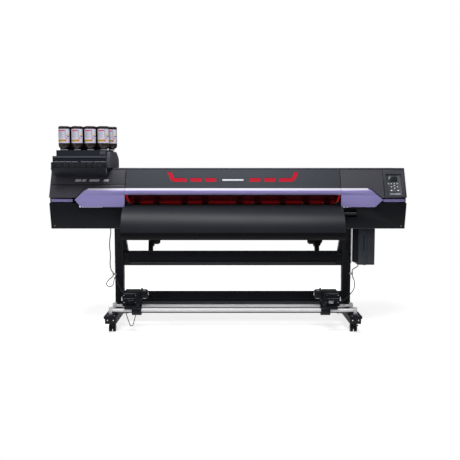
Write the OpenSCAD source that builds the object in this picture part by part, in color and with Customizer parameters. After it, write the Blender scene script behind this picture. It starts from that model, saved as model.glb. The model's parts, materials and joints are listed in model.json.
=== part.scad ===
// Wide-format roll-to-roll print-and-cut machine on a wheeled stand.
// Millimetres. X runs to the operator's right, Y to the back, Z up.
// The origin is on the floor, under the middle of the machine.

/* [Body] */
// Width of the whole body, end to end
body_w = 2810; // [2600:10:3000]
// Back of the body, measured from the middle of the stand
body_back = 380; // [370:5:400]
// Height of the underside of the body
body_z0 = 788; // [760:1:800]
// Height of the flat top of the body
body_z1 = 1268; // [1260:1:1280]
// Wall of the moulded covers
wall = 4; // [3:0.5:5]

/* [Print area] */
// Width of the opening front cover
cover_w = 1700; // [1660:5:1740]
// Offset of the cover and the stand from the middle of the body
bay_x = 39; // [30:1:50]
// Top face of the platen
platen_z = 975; // [970:1:980]
// Radius of the driven feed roller
feed_r = 15; // [12:0.5:16]
// Radius of a pinch roller
pinch_r = 11; // [9:0.5:12]
// Width of a pinch roller
pinch_w = 45; // [30:1:50]

/* [Stand] */
// Distance from the stand's middle to each column's middle
leg_x = 926; // [900:0.5:940]
// Width of a column, along X
leg_w = 68; // [60:1:72]
// Depth of a column, along Y
leg_d = 70; // [60:1:76]
// Width of a foot beam
foot_w = 85; // [80:1:90]
// Length of a foot beam, front to back
foot_l = 820; // [800:10:860]
// Height of a foot beam's underside
foot_z0 = 80; // [78:1:84]
// Height of a foot beam's top
foot_z1 = 136; // [130:1:140]

/* [Rollers and rails] */
// Radius of the front take-up rail
rail_r = 17.5; // [16:0.5:18]
// Radius of the rear take-up rail and the feed rail
rail_small_r = 16; // [14:0.5:16]
// Radius of the chucks that enter a three-inch core
chuck_r = 37.8; // [37.5:0.1:38]
// Radius of the caster wheels
wheel_r = 30; // [28:0.5:31]

/* [Ink] */
// Radius of an ink bottle
bottle_r = 44; // [38:0.5:46]
// Number of bottles in each of the two rows
bottles = 4; // [3:1:4]

/* [Hidden] */

$fn = 48;
half_w = body_w / 2;
gap = 1;                              // shut line between two covers
seam = 9;                             // dark gap round the ends of the side trims
bay_l = bay_x - cover_w / 2;          // left edge of the front cover
bay_r = bay_x + cover_w / 2;          // right edge of the front cover

// The sloped front of the upper covers: foot and head of the slope, as Y and Z.
slope_foot = [-185, 1037];
slope_head = [-73, body_z1];
slope_run = slope_head - slope_foot;
slope_len = norm(slope_run);
slope_angle = atan2(slope_run[1], slope_run[0]);
slope_in = [sin(slope_angle), -cos(slope_angle)];   // unit vector into the body

head_r = 14;                          // rounding where the slope meets the flat top
head_c = [slope_head[0] + head_r * tan(slope_angle / 2), body_z1 - head_r];

// The lilac band: a bulge along the foot of the slope, above a flat face.
band_y = -190;                        // front of the bulge
flat_y = -184;                        // flat face of the side trims
band_z0 = 963;                        // bottom of the flat face
band_z1 = 1059;                       // underside of the bulge
band_z2 = 1110;                       // top of the bulge, on the slope
chevron_tip = [1219, 1020];           // tip of the right side trim, as X and Z
tip_left = 1204;                      // the same for the left one
chevron_top = 1107;                   // X of its upper corner
chevron_low = 1157;                   // X of its lower corner
recess_z = [1003, 1026];              // the thin strip beside the chevron
lower_top = [-180, 994];              // top front edge of the lower covers, Y and Z
lower_foot = [-130, body_z0];         // bottom front edge of the lower covers

// The hinge line of the opening covers.
hinge_y = 20;
hinge_z = body_z1 - wall;
hinge_r = 4;
hinge_pin_r = 2;
knuckle_w = 40;
lug_w = 9.5;

// The media path.
nip_y = 20;
feed_z = platen_z + 1 - feed_r;
pinch_z = platen_z + 1.3 + pinch_r;
pinch_x = [-744, -580, -355, -187, 95, 241, 445, 638, 808];
arm_shaft = [110, 1030];
arm_shaft_r = 8;
side_plate = 8;
plate_l = bay_l - 12 - side_plate;    // outer face of the left frame plate
plate_r = bay_r + 12 + side_plate;    // outer face of the right frame plate
apron_l = bay_x - 863;
apron_r = bay_x + 863;

apron_c = [-122, 743];                // centre of the apron's large bend
apron_bend = 230;

// The carriage guide.
beam_y = [75, 145];
beam_z = [1052, 1180];
guide_z = [1104, 1124];
belt_z = [1140, 1150];

// Stand levels.
leg_y = [-25, -25 + leg_d];
foot_out = 12;                        // how far a foot's middle lies outside its column's middle
upper_beam_z = [477, 592];
lower_beam_z = [152, 258];
front_rail = [-330, 167];
rear_rail = [-144, 166];
feed_rail = [300, 500];
feed_axis = [330, 650];
take_axis = [-235, 282];
caster_y = 335;
caster_trail = 20;
caster_plate_z = 74.3;
take_mid = 24.5;                      // middle of the two take-up units

// The panel's keys: X, distance up the slope, width, height.
key_depth = 9;                        // depth of the panel's floor under the slope
panel_x = [1250, 1375];
panel_s = [23, 205];
KEYS = [
    ["key_f1", 1269.5, 122, 13, 8], ["key_f2", 1292.5, 122, 13, 8],
    ["key_f3", 1315.5, 122, 13, 8], ["key_f4", 1338.5, 122, 13, 8],
    ["key_up", 1316, 106, 14, 9], ["key_left", 1292, 95, 14, 9],
    ["key_right", 1340, 95, 14, 9], ["key_down", 1316, 84, 14, 9],
    ["key_cancel", 1291, 64, 20, 12], ["key_enter", 1343, 64, 20, 12]
];

// Cable routes, as hand-set points.
cable_r = 3.5;
cable_left_path = [
    [-950, -32, 780], [-951, -32, 742], [-958, -34, 690], [-961, -35, 640], [-956, -37, 580],
    [-955, -38, 540], [-958, -39, 505], [-954, -40, 458], [-942, -40, 430], [-932, -40, 416],
    [-932, -40, 400], [-944, -44, 384], [-968, -52, 364], [-984, -60, 340], [-982, -66, 322],
    [-964, -72, 312], [-940, -74, 318], [-926, -74, 340], [-922, -74, 368], [-914, -76, 388],
    [-900, -80, 380], [-888, -90, 350], [-874, -110, 322], [-860, -138, 302], [-846, -166, 292],
    [-834, -190, 288], [-826, -197, 288], [-819, -197, 288]
];
cable_right_path = [
    [1056, -40, 493], [1056, -40, 482], [1050, -40, 470], [1034, -40, 460], [1018, -40, 451],
    [1010, -40, 438], [1010, -40, 420], [1010, -40, 404], [1016, -42, 382], [1026, -48, 354],
    [1029, -56, 324], [1020, -70, 292], [998, -94, 266], [966, -128, 244], [934, -164, 228],
    [907, -200, 218], [890, -224, 214], [880, -234, 213], [868, -234, 213]
];
cable_low_path = [
    [-806, -285, 200], [-806, -285, 180], [-801, -285, 150], [-791, -285, 116], [-780, -285, 82],
    [-771, -285, 54], [-763, -285, 40], [-752, -286, 38], [-742, -288, 50], [-735, -290, 74],
    [-728, -297, 98], [-722, -306, 118], [-720, -312, 137]
];

// ---------- helpers ----------

// Extrudes an outline given as Y,Z points from x0 to x1.
module along_x(x0, x1) {
    translate([x0, 0, 0]) rotate([90, 0, 90]) linear_extrude(x1 - x0) children();
}

// Extrudes an outline given as X,Z points from y0 to y1.
module along_y(y0, y1) {
    translate([0, y1, 0]) rotate([90, 0, 0]) linear_extrude(y1 - y0) children();
}

// A box from its lowest to its highest corner.
module block(lo, hi) {
    translate(lo) cube(hi - lo);
}

// A closed tube of rectangular section.
module box_tube(lo, hi, t) {
    difference() {
        block(lo, hi);
        block(lo + [t, t, t], hi - [t, t, t]);
    }
}

// A cylinder along X, from x0 to x1, at a Y,Z point.
module rod_x(x0, x1, at, r) {
    translate([x0, at[0], at[1]]) rotate([0, 90, 0]) cylinder(h = x1 - x0, r = r);
}

// A rectangle with round corners, from exact circles.
module soft_rect(w, d, r) {
    square([w - 2 * r, d], center = true);
    square([w, d - 2 * r], center = true);
    for (sx = [-1, 1], sy = [-1, 1])
        translate([sx * (w / 2 - r), sy * (d / 2 - r)]) circle(r);
}

// Places children on the sloped front, with Z along its outward normal.
module on_slope(x, s, h = 0) {
    along = slope_run / slope_len;
    translate([x, slope_foot[0] + s * along[0], slope_foot[1] + s * along[1]])
        rotate([slope_angle, 0, 0]) translate([0, 0, h]) children();
}

// Points of an arc, from angle a0 to a1.
function arc(c, r, a0, a1, n) = [for (i = [0:n]) let (a = a0 + (a1 - a0) * i / n)
    [c[0] + r * cos(a), c[1] + r * sin(a)]];

// The two faces of a curved sheet of thickness t, as one closed outline.
function sheet(line, t) = let (
    n = len(line),
    dir = [for (i = [0:n - 1]) let (d = line[min(i + 1, n - 1)] - line[max(i - 1, 0)]) d / norm(d)])
    concat(line, [for (i = [n - 1:-1:0]) line[i] + t * [dir[i][1], -dir[i][0]]]);

function unit(v) = v / norm(v);

function foot_x(side) = bay_x + side * (leg_x + foot_out);

// Left ends of a cover's two hinge knuckles.
function hinge_x(x0, x1) = [x0 + 30, x1 - 30 - knuckle_w];

// Catmull-Rom point on stretch i of a route.
function spline_at(p, i, t) = let (
    n = len(p) - 1, a = p[max(i - 1, 0)], b = p[i], c = p[i + 1], d = p[min(i + 2, n)])
    0.5 * (2 * b + (c - a) * t + (2 * a - 5 * b + 4 * c - d) * t * t + (3 * b - a - 3 * c + d) * t * t * t);

// A round cable swept along a route with a fixed reference direction.
module cable(path, r, sides = 8) {
    line = concat([for (i = [0:len(path) - 2], t = [0, 0.5]) spline_at(path, i, t)], [path[len(path) - 1]]);
    n = len(line);
    points = [for (i = [0:n - 1]) let (
        d = i == 0 ? unit(path[1] - path[0]) : i == n - 1 ? unit(path[len(path) - 1] - path[len(path) - 2])
            : unit(line[i + 1] - line[i - 1]),
        u = unit(cross(d, [0.2, 1, 0.1])), v = cross(d, u))
        for (k = [0:sides - 1]) line[i] + r * (cos(360 * k / sides) * u + sin(360 * k / sides) * v)];
    walls = [for (i = [0:n - 2], k = [0:sides - 1], half = [0, 1]) let (
        a = i * sides + k, b = i * sides + (k + 1) % sides)
        half == 0 ? [a, b, b + sides] : [a, b + sides, a + sides]];
    ends = [[for (k = [sides - 1:-1:0]) k], [for (k = [0:sides - 1]) (n - 1) * sides + k]];
    polyhedron(points, concat(walls, ends));
}

// ---------- outlines ----------

// Outside of the upper covers, open at the bottom.
function upper_outline(t) = concat([slope_foot + [t / sin(slope_angle), 0]], head_arc(t),
    [[body_back - t, body_z1 - t], [body_back - t, slope_foot[1]]]);

// The rounded head of the slope, from the slope to the flat top, t inside the surface.
function head_arc(t) = arc(head_c, head_r - t, 90 + slope_angle, 90, 6);
function head_arc_back(t) = arc(head_c, head_r - t, 90, 90 + slope_angle, 6);

// The end and top of a side trim, as X,Z points for the right-hand side.
function chevron(grow) = [
    [bay_r + gap - grow, band_z2 + grow / 2], [chevron_top + grow, band_z2 + grow / 2],
    [chevron_tip[0] + 1.3 * grow, chevron_tip[1]], [chevron_low + grow, band_z0 - grow / 2],
    [bay_r + gap - grow, band_z0 - grow / 2]];
function chevron_left(grow) = [
    [bay_l - gap + grow, band_z2 + grow / 2], [-chevron_top - grow, band_z2 + grow / 2],
    [-tip_left - 1.3 * grow, chevron_tip[1]], [-chevron_low - grow, band_z0 - grow / 2],
    [bay_l - gap + grow, band_z0 - grow / 2]];

// The lilac bulge: a shallow top face, a rounded nose and a tucked-in underside.
bulge = concat([[slope_foot[0] + (band_z2 - slope_foot[1]) / tan(slope_angle) + 2, band_z2]],
    arc([band_y + 9, 1088], 9, 105, 180, 4), arc([band_y + 16, 1078], 16, 180, 235, 4));

// ---------- stand ----------

module leg_columns() {
    color([0.13, 0.14, 0.16]) for (side = [-1, 1]) {
        x = bay_x + side * leg_x;
        box_tube([x - leg_w / 2, leg_y[0], foot_z1 + 8], [x + leg_w / 2, leg_y[1], body_z0 - 8], wall);
        flange = leg_w / 2 + 4;
        block([x - flange, leg_y[0] - 20, body_z0 - 8], [x + flange, leg_y[1] + 20, body_z0 - 0.1]);
        block([x - flange, leg_y[0] - 25, foot_z1 + 0.1], [x + flange, leg_y[1] + 25, foot_z1 + 8]);
        for (gx = [x - leg_w / 2, x + leg_w / 2 - wall])
            along_x(gx, gx + wall)
                polygon([[leg_y[1], foot_z1 + 8], [leg_y[1] + 22, foot_z1 + 8], [leg_y[1], foot_z1 + 70]]);
        top_gusset(x - side * leg_w / 2, side);
    }
}

// The plate in the corner over the upper beam, narrowing towards the top.
module top_gusset(x, side) {
    along_y(-4, 2) polygon([
        [x + side, upper_beam_z[1] + 0.2], [x - side * 43, upper_beam_z[1] + 0.2], [x - side * 26, 700],
        [x - side * 26, body_z0 - 7], [x + side, body_z0 - 7]]);
}

module foot_beams() {
    color([0.11, 0.12, 0.14]) for (side = [-1, 1]) {
        x = foot_x(side);
        difference() {
            block([x - foot_w / 2, -foot_l / 2, foot_z0], [x + foot_w / 2, foot_l / 2, foot_z1]);
            block([x - foot_w / 2 + wall, -foot_l / 2 + wall, foot_z0 + wall],
                  [x + foot_w / 2 - wall, foot_l / 2 - wall, foot_z1 - wall]);
        }
        for (y = [-caster_y, caster_y])
            translate([x, y, caster_plate_z]) cylinder(h = foot_z0 - caster_plate_z, r = 34);
        foot_bracket(x, side);
    }
}

// The flange on the outer top edge of a foot's front part, with a screw under it.
module foot_bracket(x, side) {
    outer = x + side * foot_w / 2;
    y = -foot_l / 2;
    block([min(outer - side, outer + side * 10), y, foot_z1 - 6],
          [max(outer - side, outer + side * 10), y + 240, foot_z1]);
    translate([outer + side * 5.5, y + 14, foot_z1 - 20]) cylinder(h = 15, r = 4.5);
}

module crossbeams() {
    color([0.05, 0.055, 0.065]) {
        inner = leg_x - leg_w / 2;
        for (z = [upper_beam_z, lower_beam_z])
            box_tube([bay_x - inner, leg_y[0] + 12, z[0]], [bay_x + inner, leg_y[1] - 8, z[1]], wall);
    }
}

module roll_rails() {
    color([0.78, 0.77, 0.79]) {
        end_x = leg_x + 34;
        rod_x(bay_x - end_x, bay_x + end_x, front_rail, rail_r);
        rod_x(bay_x - end_x, bay_x + end_x, rear_rail, rail_small_r);
        rod_x(bay_x - leg_x + leg_w / 2, bay_x + leg_x - leg_w / 2, feed_rail, rail_small_r);
        for (side = [-1, 1]) {
            rail_foot(bay_x + side * (leg_x + 21), front_rail, 26);
            rail_foot(bay_x + side * (leg_x + 21), rear_rail, 26);
            feed_arm(bay_x + side * (leg_x - leg_w / 2), side);
        }
    }
}

// The block that ties a rail's end to the foot beam under it.
module rail_foot(x, at, w) {
    difference() {
        block([x - w / 2, at[0] - 24, foot_z1 + 0.1], [x + w / 2, at[0] + 24, at[1] + 25]);
        rod_x(x - w, x + w, at, rail_small_r - 2);
    }
}

// The arm behind a column that carries the feed rail.
module feed_arm(x, side) {
    lo = min(x, x - side * 12);
    block([lo, leg_y[1], feed_rail[1] - 20], [lo + 12, feed_rail[0] + 24, feed_rail[1] + 20]);
    block([min(x, x + side * leg_w), leg_y[1], feed_rail[1] - 30],
          [max(x, x + side * leg_w), leg_y[1] + 6, feed_rail[1] + 30]);
}

// ---------- body frame ----------

module chassis() {
    color([0.30, 0.31, 0.33]) {
        difference() {
            block([-half_w + 10, -112, body_z0], [half_w - 10, body_back - 10, body_z0 + 6]);
            block([bay_x - 700, 180, body_z0 - 1], [bay_x + 700, 330, body_z0 + 7]);
        }
        box_tube([plate_l + side_plate, -100, body_z0 + 6], [plate_r - side_plate, 150, body_z0 + 106], 5);
        frame_plate(plate_l);
        frame_plate(plate_r - side_plate);
        for (x = [-half_w + 60, half_w - 90])
            box_tube([x, 90, body_z0 + 6], [x + 30, 130, beam_z[0]], wall);
        translate([-950, -32, body_z0 - 8]) cylinder(h = 8, r = 8);
        power_inlet();
    }
}

// A frame plate beside the print area, with bores for the feed roller and the arm shaft.
module frame_plate(x) {
    difference() {
        along_x(x, x + side_plate) polygon([
            [-110, body_z0 + 6], [300, body_z0 + 6], [300, 960], [150, 1046], [70, 1046], [60, 980],
            [-110, 968]]);
        rod_x(x - 1, x + side_plate + 1, [nip_y, feed_z], 8.06);
        rod_x(x - 1, x + side_plate + 1, arm_shaft, arm_shaft_r + 0.06);
    }
}

// The mains inlet, on the pan at the right rear.
module power_inlet() {
    difference() {
        block([1180, body_back - 60, body_z0 + 6], [1250, body_back - 10, body_z0 + 56]);
        block([1190, body_back - 40, body_z0 + 16], [1240, body_back, body_z0 + 46]);
    }
}

module platen() {
    color([0.035, 0.035, 0.04]) {
        block([bay_l + 2, -138, platen_z - 6], [bay_r - 2, nip_y - 19, platen_z]);
        block([bay_l + 2, nip_y + 19, platen_z - 6], [bay_r - 2, 250, platen_z]);
        for (y = [-134, -70, -6])
            block([bay_l + 2, y, platen_z - 24], [bay_r - 2, y + 5, platen_z - 6]);
        for (y = [nip_y + 21, 130])
            block([bay_l + 2, y, platen_z - 24], [bay_r - 2, y + 5, platen_z - 6]);
        for (x = [-760, -380, 0, 420, 820], y = [-96, 126])
            block([x, y, body_z0 + 106], [x + 40, y + 20, platen_z - 6]);
        block([bay_l + 2, -96, platen_z - 24], [bay_r - 2, -76, platen_z - 18]);
    }
}

// The curved media guide under the window, from the platen's lip to the rolled lower edge.
module front_apron() {
    line = concat(arc(apron_c, apron_bend, 95, 178, 18), arc([-312, 756], 40, 190, 292, 8), [[-252, 724]]);
    color([0.16, 0.16, 0.18]) {
        along_x(apron_l, apron_r) polygon(sheet(line, -3));
        // brackets that tie the sheet to the frame's front beam
        for (x = [apron_l + 30, bay_x - 300, bay_x + 300, apron_r - 34])
            along_x(x, x + 4) polygon(concat(
                arc(apron_c, apron_bend - 1.5, 97, 135, 8),
                [[-130, 830], [-100.1, 830], [-100.1, 890], [-139.5, 940]]));
    }
}

module rear_guide() {
    line = concat([[251, platen_z - 4]], arc([251, 853], 118, 88, 0, 14), [[369, 810]]);
    color([0.45, 0.45, 0.47]) {
        along_x(bay_l + 2, bay_r - 2) polygon(sheet(line, 3));
        for (x = [bay_l + 40, bay_x, bay_r - 44])
            along_x(x, x + 4) polygon([
                [251, 960], [300, 940], [345, 880], [345, body_z0 + 6.1], [330.5, body_z0 + 6.1],
                [330.5, 860], [251, 900]]);
    }
}

module rail_beam() {
    color([0.62, 0.63, 0.65]) {
        box_tube([-half_w + 60, beam_y[0], beam_z[0]], [half_w - 60, beam_y[1], beam_z[1]], wall);
        block([-1250, beam_y[0] - 13, guide_z[0]], [1250, beam_y[0], guide_z[1]]);
        for (x = [-1265, 1241]) {
            block([x, beam_y[0] - 32, belt_z[0] - 8], [x + 24, beam_y[0], belt_z[0] - 3]);
        }
    }
}

module carriage_belt() {
    y = beam_y[0] - 16;
    color([0.06, 0.06, 0.06]) {
        translate([0, y, belt_z[0]]) linear_extrude(belt_z[1] - belt_z[0]) difference() {
            soft_rect(2525, 20, 9.99);
            soft_rect(2522, 17, 8.49);
        }
        for (x = [-1253, 1253])
            translate([x, y, belt_z[0] - 2.9]) cylinder(h = 16, r = 8.45);
    }
}

module maintenance_station() {
    color([0.22, 0.22, 0.24]) {
        difference() {
            block([985, -116, body_z0 + 6.1], [1200, 66, 960]);
            block([990, -111, body_z0 + 12], [1195, 61, 961]);
        }
        for (x = [1000, 1070, 1140])
            difference() {
                block([x, -100, 900], [x + 44, -10, 984]);
                block([x + 4, -96, 970], [x + 40, -14, 985]);
            }
        block([985, -60, 895], [1200, -40, 900]);
    }
}

// ---------- covers ----------

// A bent shell over the body's length from x0 to x1, closed at the outer end.
module upper_shell(x0, x1, end_at) {
    difference() {
        along_x(x0, x1) polygon(upper_outline(0));
        along_x(x0 + (end_at < 0 ? wall : -1), x1 + (end_at > 0 ? -wall : 1))
            polygon([for (p = upper_outline(wall)) p - [0, p[1] <= slope_foot[1] ? 1 : 0]]);
        block([x0 - 1, body_back - wall - 0.2, 0], [x1 + 1, body_back + 1, body_z1 - wall]);
    }
}

module left_upper_cover() {
    color([0.28, 0.28, 0.30]) difference() {
        upper_shell(-half_w, bay_l - gap, -1);
        along_y(-250, -100) polygon(chevron_left(seam));
        // the long shut line across the slope
        on_slope(-half_w - 1, (1138 - slope_foot[1]) / sin(slope_angle), -1.5)
            cube([half_w + bay_l, 4, 4]);
    }
}

module right_console_cover() {
    color([0.28, 0.28, 0.30]) difference() {
        upper_shell(chevron_tip[0] + 9, half_w, 1);
        along_y(-250, -100) polygon(chevron(seam));
        on_slope(panel_x[0], panel_s[0], -30)
            cube([panel_x[1] - panel_x[0], panel_s[1] - panel_s[0], 60]);
    }
}

// The lower front cover of one end: a leaning front with a lip, and the end wall.
module lower_shell(x0, x1, end_x) {
    difference() {
        union() {
            along_x(x0, x1) polygon([
                lower_top, lower_foot, [-113, body_z0], [-113, body_z0 + 4], lower_foot + [4, 4],
                lower_top + [4, -4], [-150, 990], [-150, 994]]);
            along_x(end_x, end_x + wall) polygon([
                lower_top + [2, -2], lower_foot + [2, 2], [body_back - wall - 1, body_z0],
                [body_back - wall - 1, slope_foot[1] - 1], [-150, slope_foot[1] - 1], [-150, 992]]);
        }
        along_y(-250, -100) polygon(chevron(seam));
        along_y(-250, -100) polygon(chevron_left(seam));
    }
}

module left_lower_cover() {
    color([0.085, 0.09, 0.105]) lower_shell(-half_w, apron_l - 2, -half_w);
}

module right_lower_cover() {
    color([0.085, 0.09, 0.105]) {
        difference() {
            lower_shell(apron_r + 2, half_w, half_w - wall);
            rod_x(apron_r - 20, apron_r + 20, [-166, 912], 10.3);
            block([apron_r, -230, 880], [1018, -128, 942]);
        }
        // pocket that the clamp lever sits in
        difference() {
            block([apron_r + 2, -150, 874], [1022, -118, 948]);
            block([apron_r + 6, -160, 880], [1018, -124, 942]);
        }
    }
}

// A side trim: the bulge and the flat face under it, ended by a chevron.
module trim(side) {
    inner_y = flat_y + wall;
    intersection() {
        difference() {
            along_x(-half_w, half_w) polygon(concat(bulge, [
                [flat_y, band_z1], [flat_y, band_z0], [-140, band_z0], [-140, band_z2 - 20]]));
            along_x(-half_w - 1, half_w + 1) polygon([
                [inner_y, band_z1], [inner_y, band_z0 + wall], [-139, band_z0 + wall],
                [-139, band_z2 - 14], [-146, band_z2 - 9], [inner_y, band_z2 - 21]]);
            // clearance over the apron's edge
            rod_x(apron_l - 2, apron_r + 2, apron_c, apron_bend + 1.5);
        }
        along_y(-250, -100) polygon(side > 0 ? chevron(0) : chevron_left(0));
    }
}

module side_trims() {
    color([0.53, 0.49, 0.75]) {
        trim(-1);
        trim(1);
        for (side = [-1, 1])
            translate([side * (chevron_tip[0] + half_w) / 2 - side * 4, -160, recess_z[0]])
                linear_extrude(recess_z[1] - recess_z[0])
                    square([half_w - chevron_tip[0] - 20, 22], center = true);
    }
}

// The profile of an opening cover: the slope and the front strip of the top.
module lid_shell(x0, x1) {
    run = (band_z2 + 2 - slope_foot[1]) / slope_run[1];
    foot = slope_foot + run * slope_run;
    n = slope_in * wall;
    edge = hinge_y - 1;
    difference() {
        along_x(x0, x1) polygon(concat([foot], head_arc(0),
            [[edge, body_z1], [edge, body_z1 - wall]], head_arc_back(wall), [foot + n]));
        // notches for the hinge lugs
        for (x = hinge_x(x0, x1))
            block([x - lug_w - 1, hinge_y - hinge_r - 1.5, body_z1 - wall - 1],
                  [x + knuckle_w + lug_w + 1, hinge_y, body_z1 + 1]);
    }
    // stiffening ribs
    for (x = [x0 + 8, (x0 + x1) / 2, x1 - 12])
        along_x(x, x + 4) polygon(concat([foot + n], head_arc(wall), [
            [hinge_y - 16, body_z1 - wall], [hinge_y - 16, body_z1 - 12],
            [head_c[0] + 6, body_z1 - 12], foot + [18, 2]]));
    // hinge knuckles, each on a leaf under the cover's edge
    for (x = hinge_x(x0, x1)) difference() {
        union() {
            rod_x(x, x + knuckle_w, [hinge_y, hinge_z], hinge_r);
            block([x, hinge_y - 14, hinge_z - hinge_r], [x + knuckle_w, hinge_y - 2, hinge_z]);
        }
        rod_x(x - 1, x + knuckle_w + 1, [hinge_y, hinge_z], hinge_pin_r + 0.06);
    }
}

module front_cover() {
    color([0.27, 0.29, 0.33]) {
        lid_shell(bay_l + gap, bay_r - gap);
        // the end webs that carry the handle and the window
        for (x = [bay_l + gap, bay_r - gap - 3])
            along_x(x, x + 3) polygon([
                [-145.5, 1112], [-132.5, 1140], [-122, 1138], [-134, 1100], [-160, 1050], [-160, 1000],
                [-175.7, 1000], [-175.7, 1058], [-170, 1058], [-170, 1066], [-178, 1080], [-178, 1087],
                [-170, 1094], [-144.5, 1103.5], [-144.5, 1107]]);
    }
}

module cover_handle() {
    color([0.60, 0.56, 0.82]) along_x(bay_l + gap, bay_r - gap) polygon(concat(bulge, [
        [-179, band_z1], [-173, band_z1], [-173, 1062], [-180, 1070], [-184, 1079],
        [-184, 1088.5], [-180, 1092], [-145.5, 1105.2]]));
}

module window() {
    color([0.45, 0.02, 0.03, 0.6]) along_x(bay_l + gap + 4, bay_r - gap - 4)
        polygon([[-180, 996], [-176, 996], [-176, band_z1 - 0.7], [-180, band_z1 - 0.7]]);
}

module maintenance_cover() {
    top = slope_foot + (band_z2 + 8 - slope_foot[1]) / slope_run[1] * slope_run;
    n = slope_in * wall;
    color([0.28, 0.28, 0.30]) {
        lid_shell(bay_r + gap, chevron_tip[0] + 8);
        // corner plate beside the chevron
        difference() {
            along_x(chevron_top, chevron_tip[0] + 8) polygon([slope_foot, top, top + n, slope_foot + n]);
            along_y(-250, -100) polygon(chevron(seam));
        }
    }
}

module rear_cover() {
    color([0.25, 0.25, 0.27]) {
        // top and back over the print area and the maintenance bay
        // with a gutter under the hinge line
        along_x(bay_l + gap, chevron_tip[0] + 8) polygon([
            [hinge_y + 5, body_z1], [body_back, body_z1], [body_back, 1010], [body_back - wall, 1010],
            [body_back - wall, body_z1 - wall], [hinge_y + 12, body_z1 - wall],
            [hinge_y + 12, hinge_z - 11], [hinge_y - 12, hinge_z - 11], [hinge_y - 12, hinge_z - 8.5],
            [hinge_y + 9, hinge_z - 8.5], [hinge_y + 9, body_z1 - wall], [hinge_y + 5, body_z1 - wall]]);
        // lower back panels of the two ends
        for (x = [[-half_w, bay_l - gap], [plate_r, half_w]])
            difference() {
                block([x[0] + 0.5, body_back - wall, body_z0],
                      [x[1], body_back, x[0] < 0 ? body_z1 - wall - 0.3 : 1009.8]);
                block([1184, body_back - 6, body_z0 + 10], [1246, body_back + 1, body_z0 + 52]);
                for (vx = [x[0] + 90:26:x[0] + 300])
                    block([vx, body_back - 6, 860], [vx + 10, body_back + 1, 940]);
            }
        block([chevron_tip[0] + 10, body_back - wall, 1010], [half_w, body_back, body_z1 - wall - 0.3]);
        hinge_pins();
    }
}

// The hinge pins of both covers, each held by a lug at both ends of its knuckle.
module hinge_pins() {
    for (x = concat(hinge_x(bay_l + gap, bay_r - gap), hinge_x(bay_r + gap, chevron_tip[0] + 8))) {
        rod_x(x - lug_w, x + knuckle_w + lug_w, [hinge_y, hinge_z], hinge_pin_r);
        for (lug = [x - lug_w - 0.5, x + knuckle_w + 0.5]) {
            rod_x(lug, lug + lug_w, [hinge_y, hinge_z], hinge_r);
            block([lug, hinge_y, hinge_z - hinge_r], [lug + lug_w, hinge_y + 9, hinge_z]);
        }
    }
}

// ---------- control panel ----------

module control_panel() {
    w = panel_x[1] - panel_x[0] - 1;
    h = panel_s[1] - panel_s[0] - 1;
    color([0.07, 0.07, 0.08]) on_slope((panel_x[0] + panel_x[1]) / 2, (panel_s[0] + panel_s[1]) / 2)
        difference() {
            translate([0, 0, -key_depth - 3]) linear_extrude(key_depth + 2.4) square([w, h], center = true);
            translate([0, 0, -key_depth]) linear_extrude(key_depth + 2) square([w - 4, h - 4], center = true);
            translate([-(panel_x[0] + panel_x[1]) / 2, -(panel_s[0] + panel_s[1]) / 2, -key_depth - 4]) {
                for (k = KEYS)
                    translate([k[1], k[2], 0]) linear_extrude(5) soft_rect(k[3] + 0.8, k[4] + 0.8, 2);
                translate([1311, 162.5, 0]) linear_extrude(5) soft_rect(66, 44, 1);
            }
        }
    // display module and key board behind the panel's floor
    color([0.10, 0.12, 0.14]) {
        on_slope(1311, 162.5, -key_depth - 6) linear_extrude(5) soft_rect(65.4, 43.4, 1);
        on_slope(1313, 94, -key_depth - 9) linear_extrude(1.6) soft_rect(100, 84, 2);
        for (p = [[1268, 56], [1358, 56], [1268, 132], [1358, 132]])
            on_slope(p[0], p[1], -key_depth - 7.4) cylinder(h = 4.4, r = 2.5);
    }
}

// A key cap with the retaining flange behind the panel's floor.
module key(i) {
    k = KEYS[i];
    color([0.30, 0.31, 0.34]) on_slope(k[1], k[2], -key_depth) {
        translate([0, 0, -3.6]) linear_extrude(6.2) soft_rect(k[3], k[4], 1.8);
        translate([0, 0, -4.6]) linear_extrude(1.2) soft_rect(k[3] + 3, k[4] + 2, 2.4);
    }
}

// ---------- ink supply ----------

module ink_cabinet() {
    l = -1367;
    r = -944;
    color([0.12, 0.13, 0.15]) {
        difference() {
            union() {
                block([l, -250, body_z1 + 1], [r, -60, 1314]);
                block([l + 7, -225, 1313], [r, 150, 1362]);
                block([l + 35, -215, 1361], [r, 150, 1407]);
            }
            block([l + 12, -210, body_z1 + 5], [r - 4, 146, 1358]);
            block([l + 39, -210, 1357], [r - 4, 146, 1403]);
        }
        // rear part, falling towards the back
        difference() {
            along_x(l + 7, r) polygon([[150, body_z1 + 1], [230, body_z1 + 1], [230, 1343], [150, 1400]]);
            along_x(l + 11, r - 4)
                polygon([[149, body_z1 + 5], [226, body_z1 + 5], [226, 1340], [149, 1395]]);
        }
        // overhang under the front ledge, resting on the slope
        along_x(l - 4, r) polygon([
            [-248, body_z1 + 1], [-205, 1228], [-150, 1210], [-102.5, 1210], [-75, body_z1 + 1]]);
    }
    // end panel
    color([0.30, 0.30, 0.33]) {
        along_x(r, -918) polygon([
            [-228, body_z1 + 1], [-228, 1310], [-200, 1390], [-190, 1396], [108, 1398],
            [168, 1374], [229, 1343], [236, 1330], [236, body_z1 + 1]]);
        // stand of the last rear bottle
        block([r, -101, 1396], [-918, -51, 1407]);
    }
}

function bottle_centres(row) = [for (i = [0:bottles - 1]) [-1277.5 + 102 * i + row * 46, -172 + row * 96]];

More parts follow.
